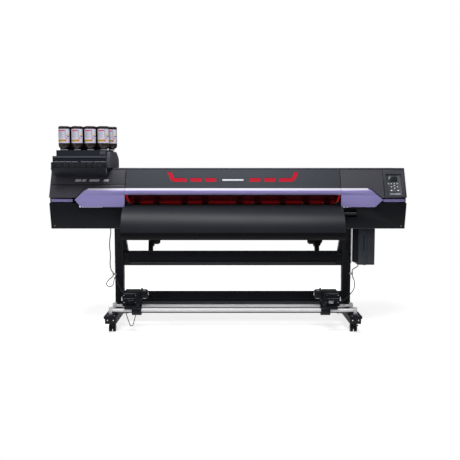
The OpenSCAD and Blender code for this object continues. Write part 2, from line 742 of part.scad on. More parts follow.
module ink_bottles() {
    color([0.16, 0.10, 0.10]) for (row = [0, 1], c = bottle_centres(row))
        translate([c[0], c[1], 1407.1]) rotate_extrude($fn = 40) polygon([
            [0, 0], [25, 0], [25, 9], [21, 10], [21, 12], [36, 18], [bottle_r - 2, 28], [bottle_r, 34],
            [bottle_r, 176], [bottle_r - 3, 183], [bottle_r - 10, 186], [0, 186]]);
}

module waste_tank() {
    x = 1110;
    y = -25;
    color([0.15, 0.17, 0.20]) {
        difference() {
            translate([x, y, 493]) linear_extrude(289) soft_rect(138, 150, 14);
            translate([x, y, 497]) linear_extrude(281) soft_rect(130, 142, 10);
            block([x + 1, y - 80, 480], [x + 4, y - 73, 800]);
            translate([1090, y - 70, 605]) rotate([90, 0, 0]) linear_extrude(20) soft_rect(8, 4, 1);
            block([1086, y - 80, 605], [1094, y - 70, 734]);
        }
        block([x - 60, y - 60, 782], [x - 40, y + 60, body_z0 - 0.1]);
        block([x + 40, y - 60, 782], [x + 60, y + 60, body_z0 - 0.1]);
    }
}

// ---------- carriage and cutter ----------

module carriage() {
    x0 = 978;
    x1 = 1198;
    color([0.20, 0.21, 0.23]) difference() {
        along_x(x0, x1) polygon([
            [-128, 992], [-128, 1095], [-92, 1180], [58, 1180], [58, 1136], [73.5, 1132], [73.5, 1090],
            [58, 1086], [58, 1022], [-2, 1022], [-2, 992]]);
        along_x(x0 + 4, x1 - 4) polygon([
            [-124, 1000], [-124, 1094], [-90, 1176], [26, 1176], [26, 1028], [-8, 1028], [-8, 1000]]);
        block([x0 - 1, beam_y[0] - 13.5, guide_z[0] - 0.5], [x1 + 1, 90, guide_z[1] + 0.5]);
        block([x0 - 1, beam_y[0] - 28, belt_z[0] - 1], [x1 + 1, 90, belt_z[1] + 1]);
    }
    color([0.6, 0.6, 0.62]) for (x = [1006, 1066, 1126])
        block([x, -100, 988.5], [x + 36, -12, 991.9]);
}

module cutter_head() {
    color([0.24, 0.25, 0.27]) difference() {
        union() {
            block([902, -110, 1010], [976, -10, 1150]);
            block([920, -10, 1028], [977.9, 30, 1130]);
            block([976, -60, 1040], [977.9, -20, 1120]);
        }
        translate([938, -80, 1000]) cylinder(h = 130, r = 9.05);
        block([906, -50, 1014], [972, -14, 1146]);
    }
}

module cutter_tool() {
    color([0.70, 0.70, 0.72]) translate([938, -80, 0]) {
        translate([0, 0, 984]) cylinder(h = 22, r = 5);
        translate([0, 0, 980]) cylinder(h = 4.01, r1 = 0.8, r2 = 5, $fn = 24);
        translate([0, 0, 1005]) cylinder(h = 110, r = 9);
    }
}

// ---------- feed ----------

module feed_roller() {
    color([0.55, 0.55, 0.56]) {
        rod_x(plate_l + side_plate + 2, plate_r - side_plate - 2, [nip_y, feed_z], feed_r);
        rod_x(plate_l - 14, plate_r + 22, [nip_y, feed_z], 8);
        // drive wheel, a sliding fit on the shaft
        difference() {
            rod_x(plate_r + 4, plate_r + 18, [nip_y, feed_z], 34);
            rod_x(plate_r + 3, plate_r + 19, [nip_y, feed_z], 8.06);
        }
    }
}

module pinch_arms() {
    color([0.10, 0.10, 0.11]) {
        rod_x(plate_l - 10, plate_r + 10, arm_shaft, arm_shaft_r);
        for (x = pinch_x) difference() {
            union() {
                for (cheek = [x - pinch_w / 2 - 4.5, x + pinch_w / 2 + 0.5])
                    along_x(cheek, cheek + 4) polygon([
                        [nip_y - 5, pinch_z - 5], [nip_y + 6, pinch_z - 6], [60, 994], [100, 1016],
                        [118, 1022], [112, 1038], [98, 1036], [56, 1012], [nip_y, pinch_z + 15],
                        [nip_y - 9, pinch_z + 12]]);
                along_x(x - pinch_w / 2 - 4.5, x + pinch_w / 2 + 4.5) polygon([
                    [nip_y + 14, pinch_z + 12], [56, 1006], [56, 1012], [nip_y + 12, pinch_z + 16.5]]);
            }
            rod_x(x - 40, x + 40, [nip_y, pinch_z], 3.06);
        }
    }
}

module pinch_rollers() {
    color([0.30, 0.05, 0.05]) for (x = pinch_x) {
        rod_x(x - pinch_w / 2, x + pinch_w / 2, [nip_y, pinch_z], pinch_r);
        rod_x(x - pinch_w / 2 - 5, x + pinch_w / 2 + 5, [nip_y, pinch_z], 3);
    }
}

module clamp_lever() {
    color([0.07, 0.07, 0.08]) {
        rod_x(apron_r + 6.4, 1017.6, [-140, 911], 5);
        for (x = [apron_r + 12, 998])
            along_x(x, x + 10) polygon(concat(
                arc([-140, 911], 9, 60, -60, 6), [[-196, 902], [-206, 911], [-196, 920]]));
        along_x(apron_r + 12, 1008) polygon([[-194, 900], [-204, 904], [-208, 911], [-204, 918], [-194, 922]]);
    }
}

// ---------- roll supports ----------

// Everything of a take-up unit, for the left side; the right side is its mirror image.
module take_up_unit() {
    l = -819;
    r = -683;
    difference() {
        union() {
            along_y(-320, -150) polygon([
                [l, 200], [l, 297], [l + 9, 306], [r - 16, 306], [r - 16, 200]]);
            block([r - 20, -300, 222], [r, -170, 303]);
            // saddle over the two rails
            block([-800, -352, 186], [-700, -116, 206]);
            rod_x(-742, -670, front_rail, 34);
            rod_x(-742, -690, rear_rail, 28);
            block([-742, front_rail[0] - 22, 167], [-690, front_rail[0] + 22, 200]);
            block([-742, rear_rail[0] - 20, 167], [-690, rear_rail[0] + 20, 200]);
            block([-712, -356, 196], [-694, -320, 300]);
        }
        rod_x(-900, -600, front_rail, rail_r + 0.3);
        rod_x(-900, -600, rear_rail, rail_small_r + 0.3);
        rod_x(-790, r + 1, take_axis, 12.06);
        block([l + 6, -314, 206], [-730, -262, 298]);
    }
}

// The chuck that carries one end of the take-up core.
module take_up_chuck() {
    rod_x(-775, -680, take_axis, 12);
    rod_x(-682.6, -672, take_axis, 46);
    rod_x(-672.1, -640, take_axis, chuck_r);
    translate([-640.05, take_axis[0], take_axis[1]]) rotate([0, 90, 0])
        cylinder(h = 10, r1 = chuck_r, r2 = 28);
}

module mirrored() {
    translate([2 * take_mid, 0, 0]) mirror([1, 0, 0]) children();
}

module take_up_left() {
    color([0.085, 0.09, 0.12]) take_up_unit();
}
module take_up_right() {
    color([0.085, 0.09, 0.12]) mirrored() take_up_unit();
}
module take_up_core_left() {
    color([0.10, 0.10, 0.11]) take_up_chuck();
}
module take_up_core_right() {
    color([0.10, 0.10, 0.11]) mirrored() take_up_chuck();
}

// A feed roll holder: clamp on the rail, post, and a fixed chuck pointing inwards.
module feed_holder(side) {
    x = side < 0 ? -666 : 764;
    face = x - side * 18;
    difference() {
        union() {
            block([x - 32, feed_rail[0] - 30, feed_rail[1] - 26],
                  [x + 32, feed_rail[0] + 30, feed_rail[1] + 30]);
            along_x(x - 18, x + 18) polygon([
                [feed_rail[0] - 24, feed_rail[1] + 28], [feed_rail[0] + 26, feed_rail[1] + 28],
                [feed_axis[0] + 30, feed_axis[1] - 20], [feed_axis[0] + 24, feed_axis[1] + 40],
                [feed_axis[0] - 24, feed_axis[1] + 40], [feed_axis[0] - 30, feed_axis[1] - 20]]);
            if (side > 0)
                along_y(feed_axis[0] - 30, feed_axis[0] + 30) polygon([
                    [x - 18, 580], [x + 12, 580], [x + 46, 640], [x + 46, 690], [x - 18, 690]]);
        }
        rod_x(x - 60, x + 60, feed_rail, rail_small_r + 0.3);
    }
    rod_x(min(face, face - side * 10), max(face, face - side * 10), feed_axis, 56);
    rod_x(min(face - side * 10, face - side * 48), max(face - side * 10, face - side * 48), feed_axis, chuck_r);
    translate([face - side * 48, feed_axis[0], feed_axis[1]]) rotate([0, -side * 90, 0])
        cylinder(h = 14, r1 = chuck_r, r2 = 26);
}

module roll_holder_left() {
    color([0.10, 0.10, 0.11]) feed_holder(-1);
}
module roll_holder_right() {
    color([0.10, 0.10, 0.11]) feed_holder(1);
}

// ---------- casters ----------

// The swivelling part: turntable, web between the wheels, and the brake pedal.
module caster_fork(side, end) {
    y = end * caster_y;
    color([0.06, 0.06, 0.07]) translate([foot_x(side), y, 0]) {
        translate([0, 0, caster_plate_z - 8.3]) cylinder(h = 8, r = 26);
        difference() {
            along_x(-5, 5) polygon([
                [-12, caster_plate_z - 8], [12, caster_plate_z - 8], [caster_trail + 10, wheel_r + 4],
                [caster_trail + 6, wheel_r - 8], [caster_trail - 8, wheel_r - 8], [-8, wheel_r + 18]]);
            rod_x(-6, 6, [caster_trail, wheel_r], 5.06);
        }
        block([-7, -30, 56], [30, -10, 61]);
        block([-5, -26, 56], [5, 0, 70]);
    }
}

// Two wheels on one axle.
module caster_wheels(side, end) {
    at = [end * caster_y + caster_trail, wheel_r];
    color([0.045, 0.045, 0.05]) for (s = [-1, 1])
        translate([foot_x(side), 0, 0])
            rod_x(s < 0 ? -25 : 6, s < 0 ? -6 : 25, at, wheel_r);
    color([0.6, 0.6, 0.62]) rod_x(foot_x(side) - 26, foot_x(side) + 26, at, 5);
}

// ---------- fasteners and cables ----------

// A socket-head screw standing on a surface, along +Z of its frame.
module screw(r = 5, h = 5) {
    difference() {
        cylinder(h = h, r = r);
        translate([0, 0, h / 2]) cylinder(h = h, r = r * 0.5, $fn = 6);
    }
}

module fasteners() {
    color([0.35, 0.35, 0.37]) {
        for (side = [-1, 1]) {
            x = bay_x + side * leg_x;
            for (z = [upper_beam_z, lower_beam_z], dz = [26, z[1] - z[0] - 26])
                translate([x + side * leg_w / 2, 10, z[0] + dz]) rotate([0, side * 90, 0]) screw(7, 6);
            for (dx = [-24, 24])
                translate([x + dx, leg_y[0] - 13, foot_z1 + 8]) screw(6, 6);
        }
        for (x = [-1300:200:-900], z = [980, 1200])
            translate([x, body_back, z]) rotate([-90, 0, 0]) screw(4, 2.5);
        for (x = [-700:350:700])
            translate([x, body_back, 1030]) rotate([-90, 0, 0]) screw(4, 2.5);
        for (x = [960:200:1360])
            translate([x, body_back, 980]) rotate([-90, 0, 0]) screw(4, 2.5);
    }
    // cable ties on the columns
    color([0.05, 0.05, 0.055]) {
        cable_clip([-932, leg_y[0], 408], 15, 22);
        cable_clip([1010, leg_y[0], 412], 15, -22);
    }
}

// A block with a hole for a cable that runs straight down beside a column, and a tongue on the column.
module cable_clip(at, reach, tongue) {
    difference() {
        union() {
            block([at[0] - 7, at[1] - reach - 7, at[2] - 6], [at[0] + 7, at[1] - 0.1, at[2] + 6]);
            block([min(at[0], at[0] + tongue), at[1] - 8, at[2] - 6],
                  [max(at[0], at[0] + tongue), at[1] - 0.1, at[2] + 6]);
        }
        translate([at[0], at[1] - reach, at[2] - 7]) cylinder(h = 14, r = cable_r + 0.9);
    }
}

module cable_left() {
    color([0.06, 0.06, 0.07]) cable(cable_left_path, cable_r);
}
module cable_right() {
    color([0.06, 0.06, 0.07]) cable(cable_right_path, cable_r);
}
module cable_low_left() {
    color([0.06, 0.06, 0.07]) cable(cable_low_path, 3);
}

// ---------- nodes ----------

leg_columns();
foot_beams();
crossbeams();
chassis();
platen();
front_apron();
rear_guide();
rail_beam();
carriage_belt();
left_upper_cover();
left_lower_cover();
right_console_cover();
right_lower_cover();
side_trims();
rear_cover();
control_panel();
ink_cabinet();
ink_bottles();
waste_tank();
roll_rails();
fasteners();
cable_left();
cable_right();
cable_low_left();
maintenance_station();
front_cover();
cover_handle();
window();
maintenance_cover();
carriage();
cutter_head();
cutter_tool();
feed_roller();
pinch_arms();
pinch_rollers();
clamp_lever();
key(0);  // key_f1
key(1);  // key_f2
key(2);  // key_f3
key(3);  // key_f4
key(4);  // key_up
key(5);  // key_left
key(6);  // key_right
key(7);  // key_down
key(8);  // key_cancel
key(9);  // key_enter
take_up_left();
take_up_core_left();
take_up_right();
take_up_core_right();
roll_holder_left();
roll_holder_right();
caster_fork(-1, -1);  // caster_fork_front_left
caster_fork(1, -1);  // caster_fork_front_right
caster_fork(-1, 1);  // caster_fork_rear_left
caster_fork(1, 1);  // caster_fork_rear_right
caster_wheels(-1, -1);  // caster_wheels_front_left
caster_wheels(1, -1);  // caster_wheels_front_right
caster_wheels(-1, 1);  // caster_wheels_rear_left
caster_wheels(1, 1);  // caster_wheels_rear_right
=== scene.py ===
"""Looks of the wide-format printer cutter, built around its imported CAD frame. Metres."""
import json
import math

import bmesh
import bpy
from mathutils import Matrix, Vector


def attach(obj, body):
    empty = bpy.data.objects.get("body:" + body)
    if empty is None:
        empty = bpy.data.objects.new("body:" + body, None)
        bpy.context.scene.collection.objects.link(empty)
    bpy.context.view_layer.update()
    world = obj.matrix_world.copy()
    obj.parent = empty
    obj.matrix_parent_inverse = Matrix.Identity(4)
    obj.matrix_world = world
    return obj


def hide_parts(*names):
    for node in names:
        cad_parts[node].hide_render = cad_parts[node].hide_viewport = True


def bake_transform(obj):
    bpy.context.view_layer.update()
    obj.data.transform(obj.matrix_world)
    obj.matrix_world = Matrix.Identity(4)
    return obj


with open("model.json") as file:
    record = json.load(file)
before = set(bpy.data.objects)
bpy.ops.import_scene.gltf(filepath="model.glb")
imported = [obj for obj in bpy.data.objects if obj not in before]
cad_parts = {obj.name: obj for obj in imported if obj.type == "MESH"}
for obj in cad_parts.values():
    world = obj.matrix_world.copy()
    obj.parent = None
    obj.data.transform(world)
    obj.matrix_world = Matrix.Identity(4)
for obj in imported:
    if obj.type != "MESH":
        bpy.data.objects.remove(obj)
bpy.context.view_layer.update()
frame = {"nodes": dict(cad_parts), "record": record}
MM = 0.001
NODES = frame["nodes"]
BODY_OF = {n: b for b, ns in frame["record"]["behaviour"]["bodies"].items() for n in ns}
SLOT_OF = {s["node"]: s["material_slot"] for s in frame["record"]["subparts"]}


# ---------- camera, light and floor ----------

def make_camera():
    """The photograph's view: from the front, a little above the middle of the body, tipped down."""
    data = bpy.data.cameras.new("camera")
    data.sensor_width = 36
    data.lens = 54.8
    obj = bpy.data.objects.new("camera", data)
    obj.location = (0.016, -5.680, 1.292)
    obj.rotation_euler = (math.radians(90 - 5.3), 0, 0)
    bpy.context.collection.objects.link(obj)
    bpy.context.scene.camera = obj


def area_light(name, at, aim, size, power):
    data = bpy.data.lights.new(name, "AREA")
    data.shape = "RECTANGLE"
    data.size, data.size_y = size
    data.energy = power
    obj = bpy.data.objects.new(name, data)
    obj.location = at
    obj.rotation_euler = (Vector(aim) - Vector(at)).to_track_quat("-Z", "Y").to_euler()
    bpy.context.collection.objects.link(obj)


def make_studio():
    """White surroundings: bright where the camera sees them, dimmer as a light on the object."""
    bpy.context.scene.view_settings.view_transform = "Standard"
    world = bpy.data.worlds.new("studio")
    bpy.context.scene.world = world
    world.use_nodes = True
    tree = world.node_tree
    seen = tree.nodes.new("ShaderNodeLightPath").outputs["Is Camera Ray"]
    strength = tree.nodes.new("ShaderNodeMapRange")
    strength.inputs["To Min"].default_value = 0.24
    strength.inputs["To Max"].default_value = 1.0
    tree.links.new(seen, strength.inputs["Value"])
    tree.links.new(strength.outputs["Result"], tree.nodes["Background"].inputs["Strength"])
    tree.nodes["Background"].inputs["Color"].default_value = (1, 1, 1, 1)
    area_light("overhead", (-0.3, -1.1, 3.4), (0, -0.1, 0.9), (3.4, 1.3), 120)
    area_light("left_side", (-3.4, -2.2, 1.9), (0, 0, 0.9), (1.6, 1.8), 14)
    floor_mesh = bpy.data.meshes.new("floor")
    corners = [(-3.5, -1.7, 0), (3.5, -1.7, 0), (3.5, 2.2, 0), (-3.5, 2.2, 0)]
    floor_mesh.from_pydata(corners, [], [(0, 1, 2, 3)])
    floor = bpy.data.objects.new("floor", floor_mesh)
    bpy.context.collection.objects.link(floor)
    mat = bpy.data.materials.new("floor")
    mat.use_nodes = True
    bsdf = mat.node_tree.nodes["Principled BSDF"]
    bsdf.inputs["Base Color"].default_value = (0.90, 0.90, 0.90, 1)
    bsdf.inputs["Roughness"].default_value = 0.9
    bsdf.inputs["Specular IOR Level"].default_value = 0.0
    bsdf.inputs["Emission Color"].default_value = (1, 1, 1, 1)
    bsdf.inputs["Emission Strength"].default_value = 0.72
    floor_mesh.materials.append(mat)


# ---------- materials ----------

GRAIN_DEPTH = 0.0002                 # height of the fine relief
GLOSS_SPREAD = 0.08                  # how far roughness strays to either side
WEAR_AND_HIGHLIGHT_RADIUS = 0.0018                 # width of the lighter zone along an edge, rubbed wear and painted highlight


def material(name, color, rough, metal=0.0, coat=0.0, mottle=0.10, mottle_scale=9.0, grain=1500.0,
             bump=0.12, alpha=1.0, brushed=None, speckle=None, spec=0.5, wear_and_highlight=0.0):
    """A surface with fine grain, slow colour variation and uneven gloss, in object coordinates.

    brushed stretches the grain along an axis, speckle is (scale, size, colour) of small dots, and
    the last argument is how much lighter the edges are made, as rubbed wear and as a painted highlight."""
    mat = bpy.data.materials.new(name)
    mat.use_nodes = True
    tree = mat.node_tree
    bsdf = tree.nodes["Principled BSDF"]
    bsdf.inputs["Metallic"].default_value = metal
    bsdf.inputs["Coat Weight"].default_value = coat
    bsdf.inputs["Alpha"].default_value = alpha
    bsdf.inputs["Specular IOR Level"].default_value = spec

    def node(kind, **sockets):
        made = tree.nodes.new(kind)
        for key, value in sockets.items():
            made.inputs[key.replace("_", " ")].default_value = value
        return made

    place = tree.nodes.new("ShaderNodeTexCoord").outputs["Object"]
    if brushed:
        stretch = tree.nodes.new("ShaderNodeMapping")
        stretch.inputs["Scale"].default_value = brushed
        tree.links.new(place, stretch.inputs["Vector"])
        fine_place = stretch.outputs["Vector"]
    else:
        fine_place = place
    slow = node("ShaderNodeTexNoise", Scale=mottle_scale, Detail=5.0, Roughness=0.6)
    fine = node("ShaderNodeTexNoise", Scale=grain, Detail=2.0, Roughness=0.5)
    tree.links.new(place, slow.inputs["Vector"])
    tree.links.new(fine_place, fine.inputs["Vector"])

    tone = tree.nodes.new("ShaderNodeMix")
    tone.data_type = "RGBA"
    low = [c * (1 - mottle) for c in color]
    high = [min(1, c * (1 + mottle)) for c in color]
    tone.inputs["A"].default_value = (*low, 1)
    tone.inputs["B"].default_value = (*high, 1)
    tree.links.new(slow.outputs["Fac"], tone.inputs["Factor"])
    colour_out = tone.outputs["Result"]
    if speckle:
        spots = node("ShaderNodeTexVoronoi", Scale=speckle[0])
        spots.feature = "F1"
        tree.links.new(place, spots.inputs["Vector"])
        mask = tree.nodes.new("ShaderNodeMapRange")
        mask.inputs["From Min"].default_value = speckle[1]
        mask.inputs["From Max"].default_value = speckle[1] * 0.6
        tree.links.new(spots.outputs["Distance"], mask.inputs["Value"])
        dots = tree.nodes.new("ShaderNodeMix")
        dots.data_type = "RGBA"
        dots.inputs["B"].default_value = (*speckle[2], 1)
        tree.links.new(mask.outputs["Result"], dots.inputs["Factor"])
        tree.links.new(colour_out, dots.inputs["A"])
        colour_out = dots.outputs["Result"]
    # lighter edges: partly rubbed wear, partly a painted highlight along every sharp edge
    if wear_and_highlight:
        edge = node("ShaderNodeBevel", Radius=WEAR_AND_HIGHLIGHT_RADIUS)
        edge.samples = 4
        flat = tree.nodes.new("ShaderNodeNewGeometry").outputs["Normal"]
        bent = tree.nodes.new("ShaderNodeVectorMath")
        bent.operation = "DOT_PRODUCT"
        tree.links.new(edge.outputs["Normal"], bent.inputs[0])
        tree.links.new(flat, bent.inputs[1])
        rub_and_highlight = tree.nodes.new("ShaderNodeMapRange")
        rub_and_highlight.inputs["From Min"].default_value = 0.995
        rub_and_highlight.inputs["From Max"].default_value = 0.90
        rub_and_highlight.inputs["To Max"].default_value = wear_and_highlight
        tree.links.new(bent.outputs["Value"], rub_and_highlight.inputs["Value"])
        worn_and_highlit = tree.nodes.new("ShaderNodeMix")
        worn_and_highlit.data_type = "RGBA"
        worn_and_highlit.inputs["B"].default_value = (*[min(1, 2.2 * c + 0.03) for c in color], 1)
        tree.links.new(rub_and_highlight.outputs["Result"], worn_and_highlit.inputs["Factor"])
        tree.links.new(colour_out, worn_and_highlit.inputs["A"])
        colour_out = worn_and_highlit.outputs["Result"]
    tree.links.new(colour_out, bsdf.inputs["Base Color"])

    gloss = tree.nodes.new("ShaderNodeMapRange")
    gloss.inputs["To Min"].default_value = max(0.02, rough - GLOSS_SPREAD)
    gloss.inputs["To Max"].default_value = min(1.0, rough + GLOSS_SPREAD)
    tree.links.new(slow.outputs["Fac"], gloss.inputs["Value"])
    tree.links.new(gloss.outputs["Result"], bsdf.inputs["Roughness"])

    relief = tree.nodes.new("ShaderNodeBump")
    relief.inputs["Strength"].default_value = bump
    relief.inputs["Distance"].default_value = GRAIN_DEPTH
    tree.links.new(fine.outputs["Fac"], relief.inputs["Height"])
    tree.links.new(relief.outputs["Normal"], bsdf.inputs["Normal"])
    return mat


def glow(name, color, strength):
    """A surface that gives off light of its own colour."""
    mat = material(name, color, 0.4, mottle=0.05)
    bsdf = mat.node_tree.nodes["Principled BSDF"]
    bsdf.inputs["Emission Color"].default_value = (*color, 1)
    bsdf.inputs["Emission Strength"].default_value = strength
    return mat


LONGWAYS = (0.02, 1, 1)              # brushed along X
BLACK = {"spec": 0.10, "wear_and_highlight": 0.4}
MATERIALS = {
    "stand_black": material("stand_black", (0.0060, 0.0066, 0.0092), 0.46, mottle=0.25, bump=0.25,
                            grain=900, **BLACK),
    "frame_metal": material("frame_metal", (0.20, 0.21, 0.22), 0.45, metal=0.3, mottle=0.12),
    "platen_black": material("platen_black", (0.014, 0.013, 0.014), 0.5, bump=0.3,
                             speckle=(240, 0.32, (0.16, 0.14, 0.14))),
    "apron_grey": material("apron_grey", (0.0125, 0.0135, 0.0180), 0.42, metal=0.1, mottle=0.08,
                           mottle_scale=3, bump=0.10, grain=2200, spec=0.2),
    "beam_aluminium": material("beam_aluminium", (0.55, 0.56, 0.58), 0.32, metal=1.0,
                               brushed=LONGWAYS, bump=0.2),
    "belt_rubber": material("belt_rubber", (0.02, 0.02, 0.02), 0.7, grain=700, bump=0.4),
    "cover_grey": material("cover_grey", (0.047, 0.047, 0.058), 0.52, mottle=0.06, mottle_scale=4,
                           bump=0.22, grain=1700, spec=0.15, wear_and_highlight=0.35),
    "cover_black": material("cover_black", (0.0060, 0.0068, 0.0092), 0.46, mottle=0.10, mottle_scale=5,
                            bump=0.22, grain=1700, **BLACK),
    "lilac": material("lilac", (0.250, 0.220, 0.480), 0.42, metal=0.1, coat=0.1, mottle=0.05,
                      mottle_scale=4, bump=0.06, wear_and_highlight=0.25),
    "lilac_light": material("lilac_light", (0.275, 0.240, 0.500), 0.34, metal=0.15, coat=0.2,
                            mottle=0.05, mottle_scale=4, bump=0.05, wear_and_highlight=0.25),
    "panel_black": material("panel_black", (0.050, 0.052, 0.060), 0.5, mottle=0.1, spec=0.3),
    "ink_unit_black": material("ink_unit_black", (0.0105, 0.0125, 0.0170), 0.46, mottle=0.12, bump=0.25,
                               grain=1500, **BLACK),
    "bottle_brown": material("bottle_brown", (0.0160, 0.0080, 0.0085), 0.24, coat=0.1, mottle=0.2,
                             bump=0.05, spec=0.4),
    "tank_black": material("tank_black", (0.017, 0.021, 0.030), 0.42, mottle=0.12, bump=0.15, spec=0.25),
    "rail_steel": material("rail_steel", (0.56, 0.55, 0.57), 0.48, metal=0.2, brushed=LONGWAYS, bump=0.15),
    "screw_steel": material("screw_steel", (0.40, 0.40, 0.42), 0.3, metal=0.9),
    "cable_black": material("cable_black", (0.008, 0.008, 0.010), 0.5, grain=1200, bump=0.3, spec=0.25),
    "carriage_grey": material("carriage_grey", (0.055, 0.058, 0.066), 0.45, mottle=0.1, wear_and_highlight=0.3),
    "cover_blue_grey": material("cover_blue_grey", (0.0185, 0.0225, 0.0310), 0.5, mottle=0.05,
                                mottle_scale=3, bump=0.2, grain=1700, spec=0.2, wear_and_highlight=0.3),
    "window_red": material("window_red", (0.020, 0.0004, 0.0008), 0.14, coat=0.0, alpha=0.34, mottle=0.3,
                           mottle_scale=3, bump=0.02, spec=0.1),
    "roller_steel": material("roller_steel", (0.5, 0.5, 0.51), 0.3, metal=1.0, brushed=LONGWAYS,
                             bump=0.3, grain=900),
    "arm_black": material("arm_black", (0.008, 0.008, 0.010), 0.45, **BLACK),
    "pinch_rubber": material("pinch_rubber", (0.016, 0.012, 0.013), 0.6, bump=0.4, grain=800),
    "unit_black": material("unit_black", (0.0048, 0.0056, 0.0088), 0.44, mottle=0.15, bump=0.22, **BLACK),
    "chuck_black": material("chuck_black", (0.0060, 0.0060, 0.0070), 0.45, mottle=0.12, **BLACK),
    "key_grey": material("key_grey", (0.09, 0.095, 0.11), 0.5, mottle=0.06, wear_and_highlight=0.3),
    "caster_black": material("caster_black", (0.0050, 0.0050, 0.0060), 0.45, **BLACK),
    "wheel_black": material("wheel_black", (0.0050, 0.0050, 0.0055), 0.6, mottle=0.2, bump=0.3,
                            grain=700, **BLACK),
}
# Materials of the extra surfaces, by name.
EXTRA = {
    "decal_crimson": material("decal_crimson", (0.37, 0.0025, 0.0170), 0.55, mottle=0.05, bump=0.05,
                              spec=0.08),
    "seam_dark": material("seam_dark", (0.003, 0.003, 0.004), 0.7, spec=0.1),
    "line_dark": material("line_dark", (0.012, 0.012, 0.016), 0.6, spec=0.15),
    "label_paper": material("label_paper", (0.50, 0.50, 0.60), 0.5, mottle=0.05, mottle_scale=40,
                            bump=0.05),
    "label_grey": material("label_grey", (0.30, 0.30, 0.38), 0.5, mottle=0.1, mottle_scale=60),
    "label_red": material("label_red", (0.50, 0.04, 0.08), 0.45, mottle=0.1),
    "label_gold": material("label_gold", (0.42, 0.25, 0.010), 0.45, mottle=0.12, mottle_scale=50),
    "label_orange": material("label_orange", (0.45, 0.12, 0.02), 0.45, mottle=0.12,
                             mottle_scale=50),
    "dot_yellow": material("dot_yellow", (0.75, 0.55, 0.02), 0.4),
    "dot_blue": material("dot_blue", (0.02, 0.10, 0.45), 0.4),
    "cap_lilac": material("cap_lilac", (0.50, 0.47, 0.62), 0.4, mottle=0.08, bump=0.2),
    "display_glass": material("display_glass", (0.012, 0.017, 0.018), 0.15, coat=0.2, mottle=0.2,
                              spec=0.3),
    "light_bar": glow("light_bar", (0.55, 0.60, 0.70), 0.25),
    "key_lens": glow("key_lens", (0.70, 0.72, 0.78), 0.3),
    # painted light: the three red surfaces below glow, though none of them is a lamp
    "red_backlight_glow": glow("red_backlight_glow", (0.20, 0.001, 0.003), 0.55),
    "red_comb_glow": glow("red_comb_glow", (0.060, 0.001, 0.002), 0.4),
    "red_wing_glow": glow("red_wing_glow", (0.50, 0.002, 0.006), 0.9),
    "print_mark": material("print_mark", (0.50, 0.51, 0.56), 0.5, mottle=0.1, bump=0.05),
    # painted highlight: the pale colour of the lit top of the lilac band
    "band_painted_highlight": material("band_painted_highlight", (0.60, 0.58, 0.66), 0.35, mottle=0.04, bump=0.05, wear_and_highlight=0.2),
    "end_panel": material("end_panel", (0.038, 0.039, 0.050), 0.5, mottle=0.05, bump=0.2, spec=0.3,
                          wear_and_highlight=0.3),
    "ledge_dark": material("ledge_dark", (0.0065, 0.0070, 0.0100), 0.5, spec=0.2),
    "band_light": material("band_light", (0.050, 0.054, 0.072), 0.5, mottle=0.1, spec=0.25),
    "bezel_silver": material("bezel_silver", (0.55, 0.55, 0.57), 0.35, metal=0.6, brushed=LONGWAYS),
    "lip_reflection_glints": material("lip_reflection_glints", (0.12, 0.10, 0.16), 0.4, bump=0.3,
                            speckle=(420, 0.30, (0.5, 0.45, 0.55))),
    # pale lines and marks; along the covers' top edges and the ink unit's corner it is a painted highlight
    "pale_line_and_highlight": material("pale_line_and_highlight", (0.16, 0.17, 0.21), 0.45, mottle=0.1, bump=0.15),
    "unit_light": material("unit_light", (0.030, 0.032, 0.040), 0.45, mottle=0.15, bump=0.2),
    "groove_black": material("groove_black", (0.0025, 0.0025, 0.0035), 0.6, spec=0.1),
    "lip_grey": material("lip_grey", (0.022, 0.024, 0.030), 0.45, mottle=0.1, spec=0.25),
    "tank_panel": material("tank_panel", (0.023, 0.028, 0.038), 0.4, mottle=0.1, spec=0.25),
    "knob_grey": material("knob_grey", (0.040, 0.042, 0.050), 0.4, bump=0.3),
}


def shade_under(mat, dark, start, full):
    """Darkens a rail towards its underside, like the reflection of a dark room."""
    tree = mat.node_tree
    bsdf = tree.nodes["Principled BSDF"]
    source = bsdf.inputs["Base Color"].links[0].from_socket
    split = tree.nodes.new("ShaderNodeSeparateXYZ")
    tree.links.new(tree.nodes.new("ShaderNodeNewGeometry").outputs["Normal"], split.inputs["Vector"])
    amount = tree.nodes.new("ShaderNodeMapRange")
    amount.inputs["From Min"].default_value = start
    amount.inputs["From Max"].default_value = full
    tree.links.new(split.outputs["Z"], amount.inputs["Value"])
    both = tree.nodes.new("ShaderNodeMix")
    both.data_type = "RGBA"
    both.inputs["B"].default_value = (*dark, 1)
    tree.links.new(amount.outputs["Result"], both.inputs["Factor"])
    tree.links.new(source, both.inputs["A"])
    tree.links.new(both.outputs["Result"], bsdf.inputs["Base Color"])


shade_under(MATERIALS["rail_steel"], (0.006, 0.006, 0.008), -0.05, -0.40)


def paint(name):
    """The material of that name."""
    return MATERIALS.get(name) or EXTRA[name]


# ---------- mesh helpers, in millimetres ----------

def crisp(mesh, angle=35):
    """Smooth shading, with sharp edges kept where faces meet at more than the angle."""
    mesh.polygons.foreach_set("use_smooth", [True] * len(mesh.polygons))
    mesh.set_sharp_from_angle(angle=math.radians(angle))


def finish_mesh(name, bm, mat, body, bevel=0.0):
    """Turns a bmesh in millimetres into a piece in metres, with rounded edges, on a body."""
    bmesh.ops.recalc_face_normals(bm, faces=bm.faces)
    bmesh.ops.scale(bm, vec=(MM, MM, MM), verts=bm.verts)
    mesh = bpy.data.meshes.new(name)
    bm.to_mesh(mesh)
    bm.free()
    obj = bpy.data.objects.new(name, mesh)
    bpy.context.collection.objects.link(obj)
    mesh.materials.append(paint(mat))
    if bevel:
        round_edges(obj, bevel * MM)
    crisp(obj.data)
    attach(obj, body)


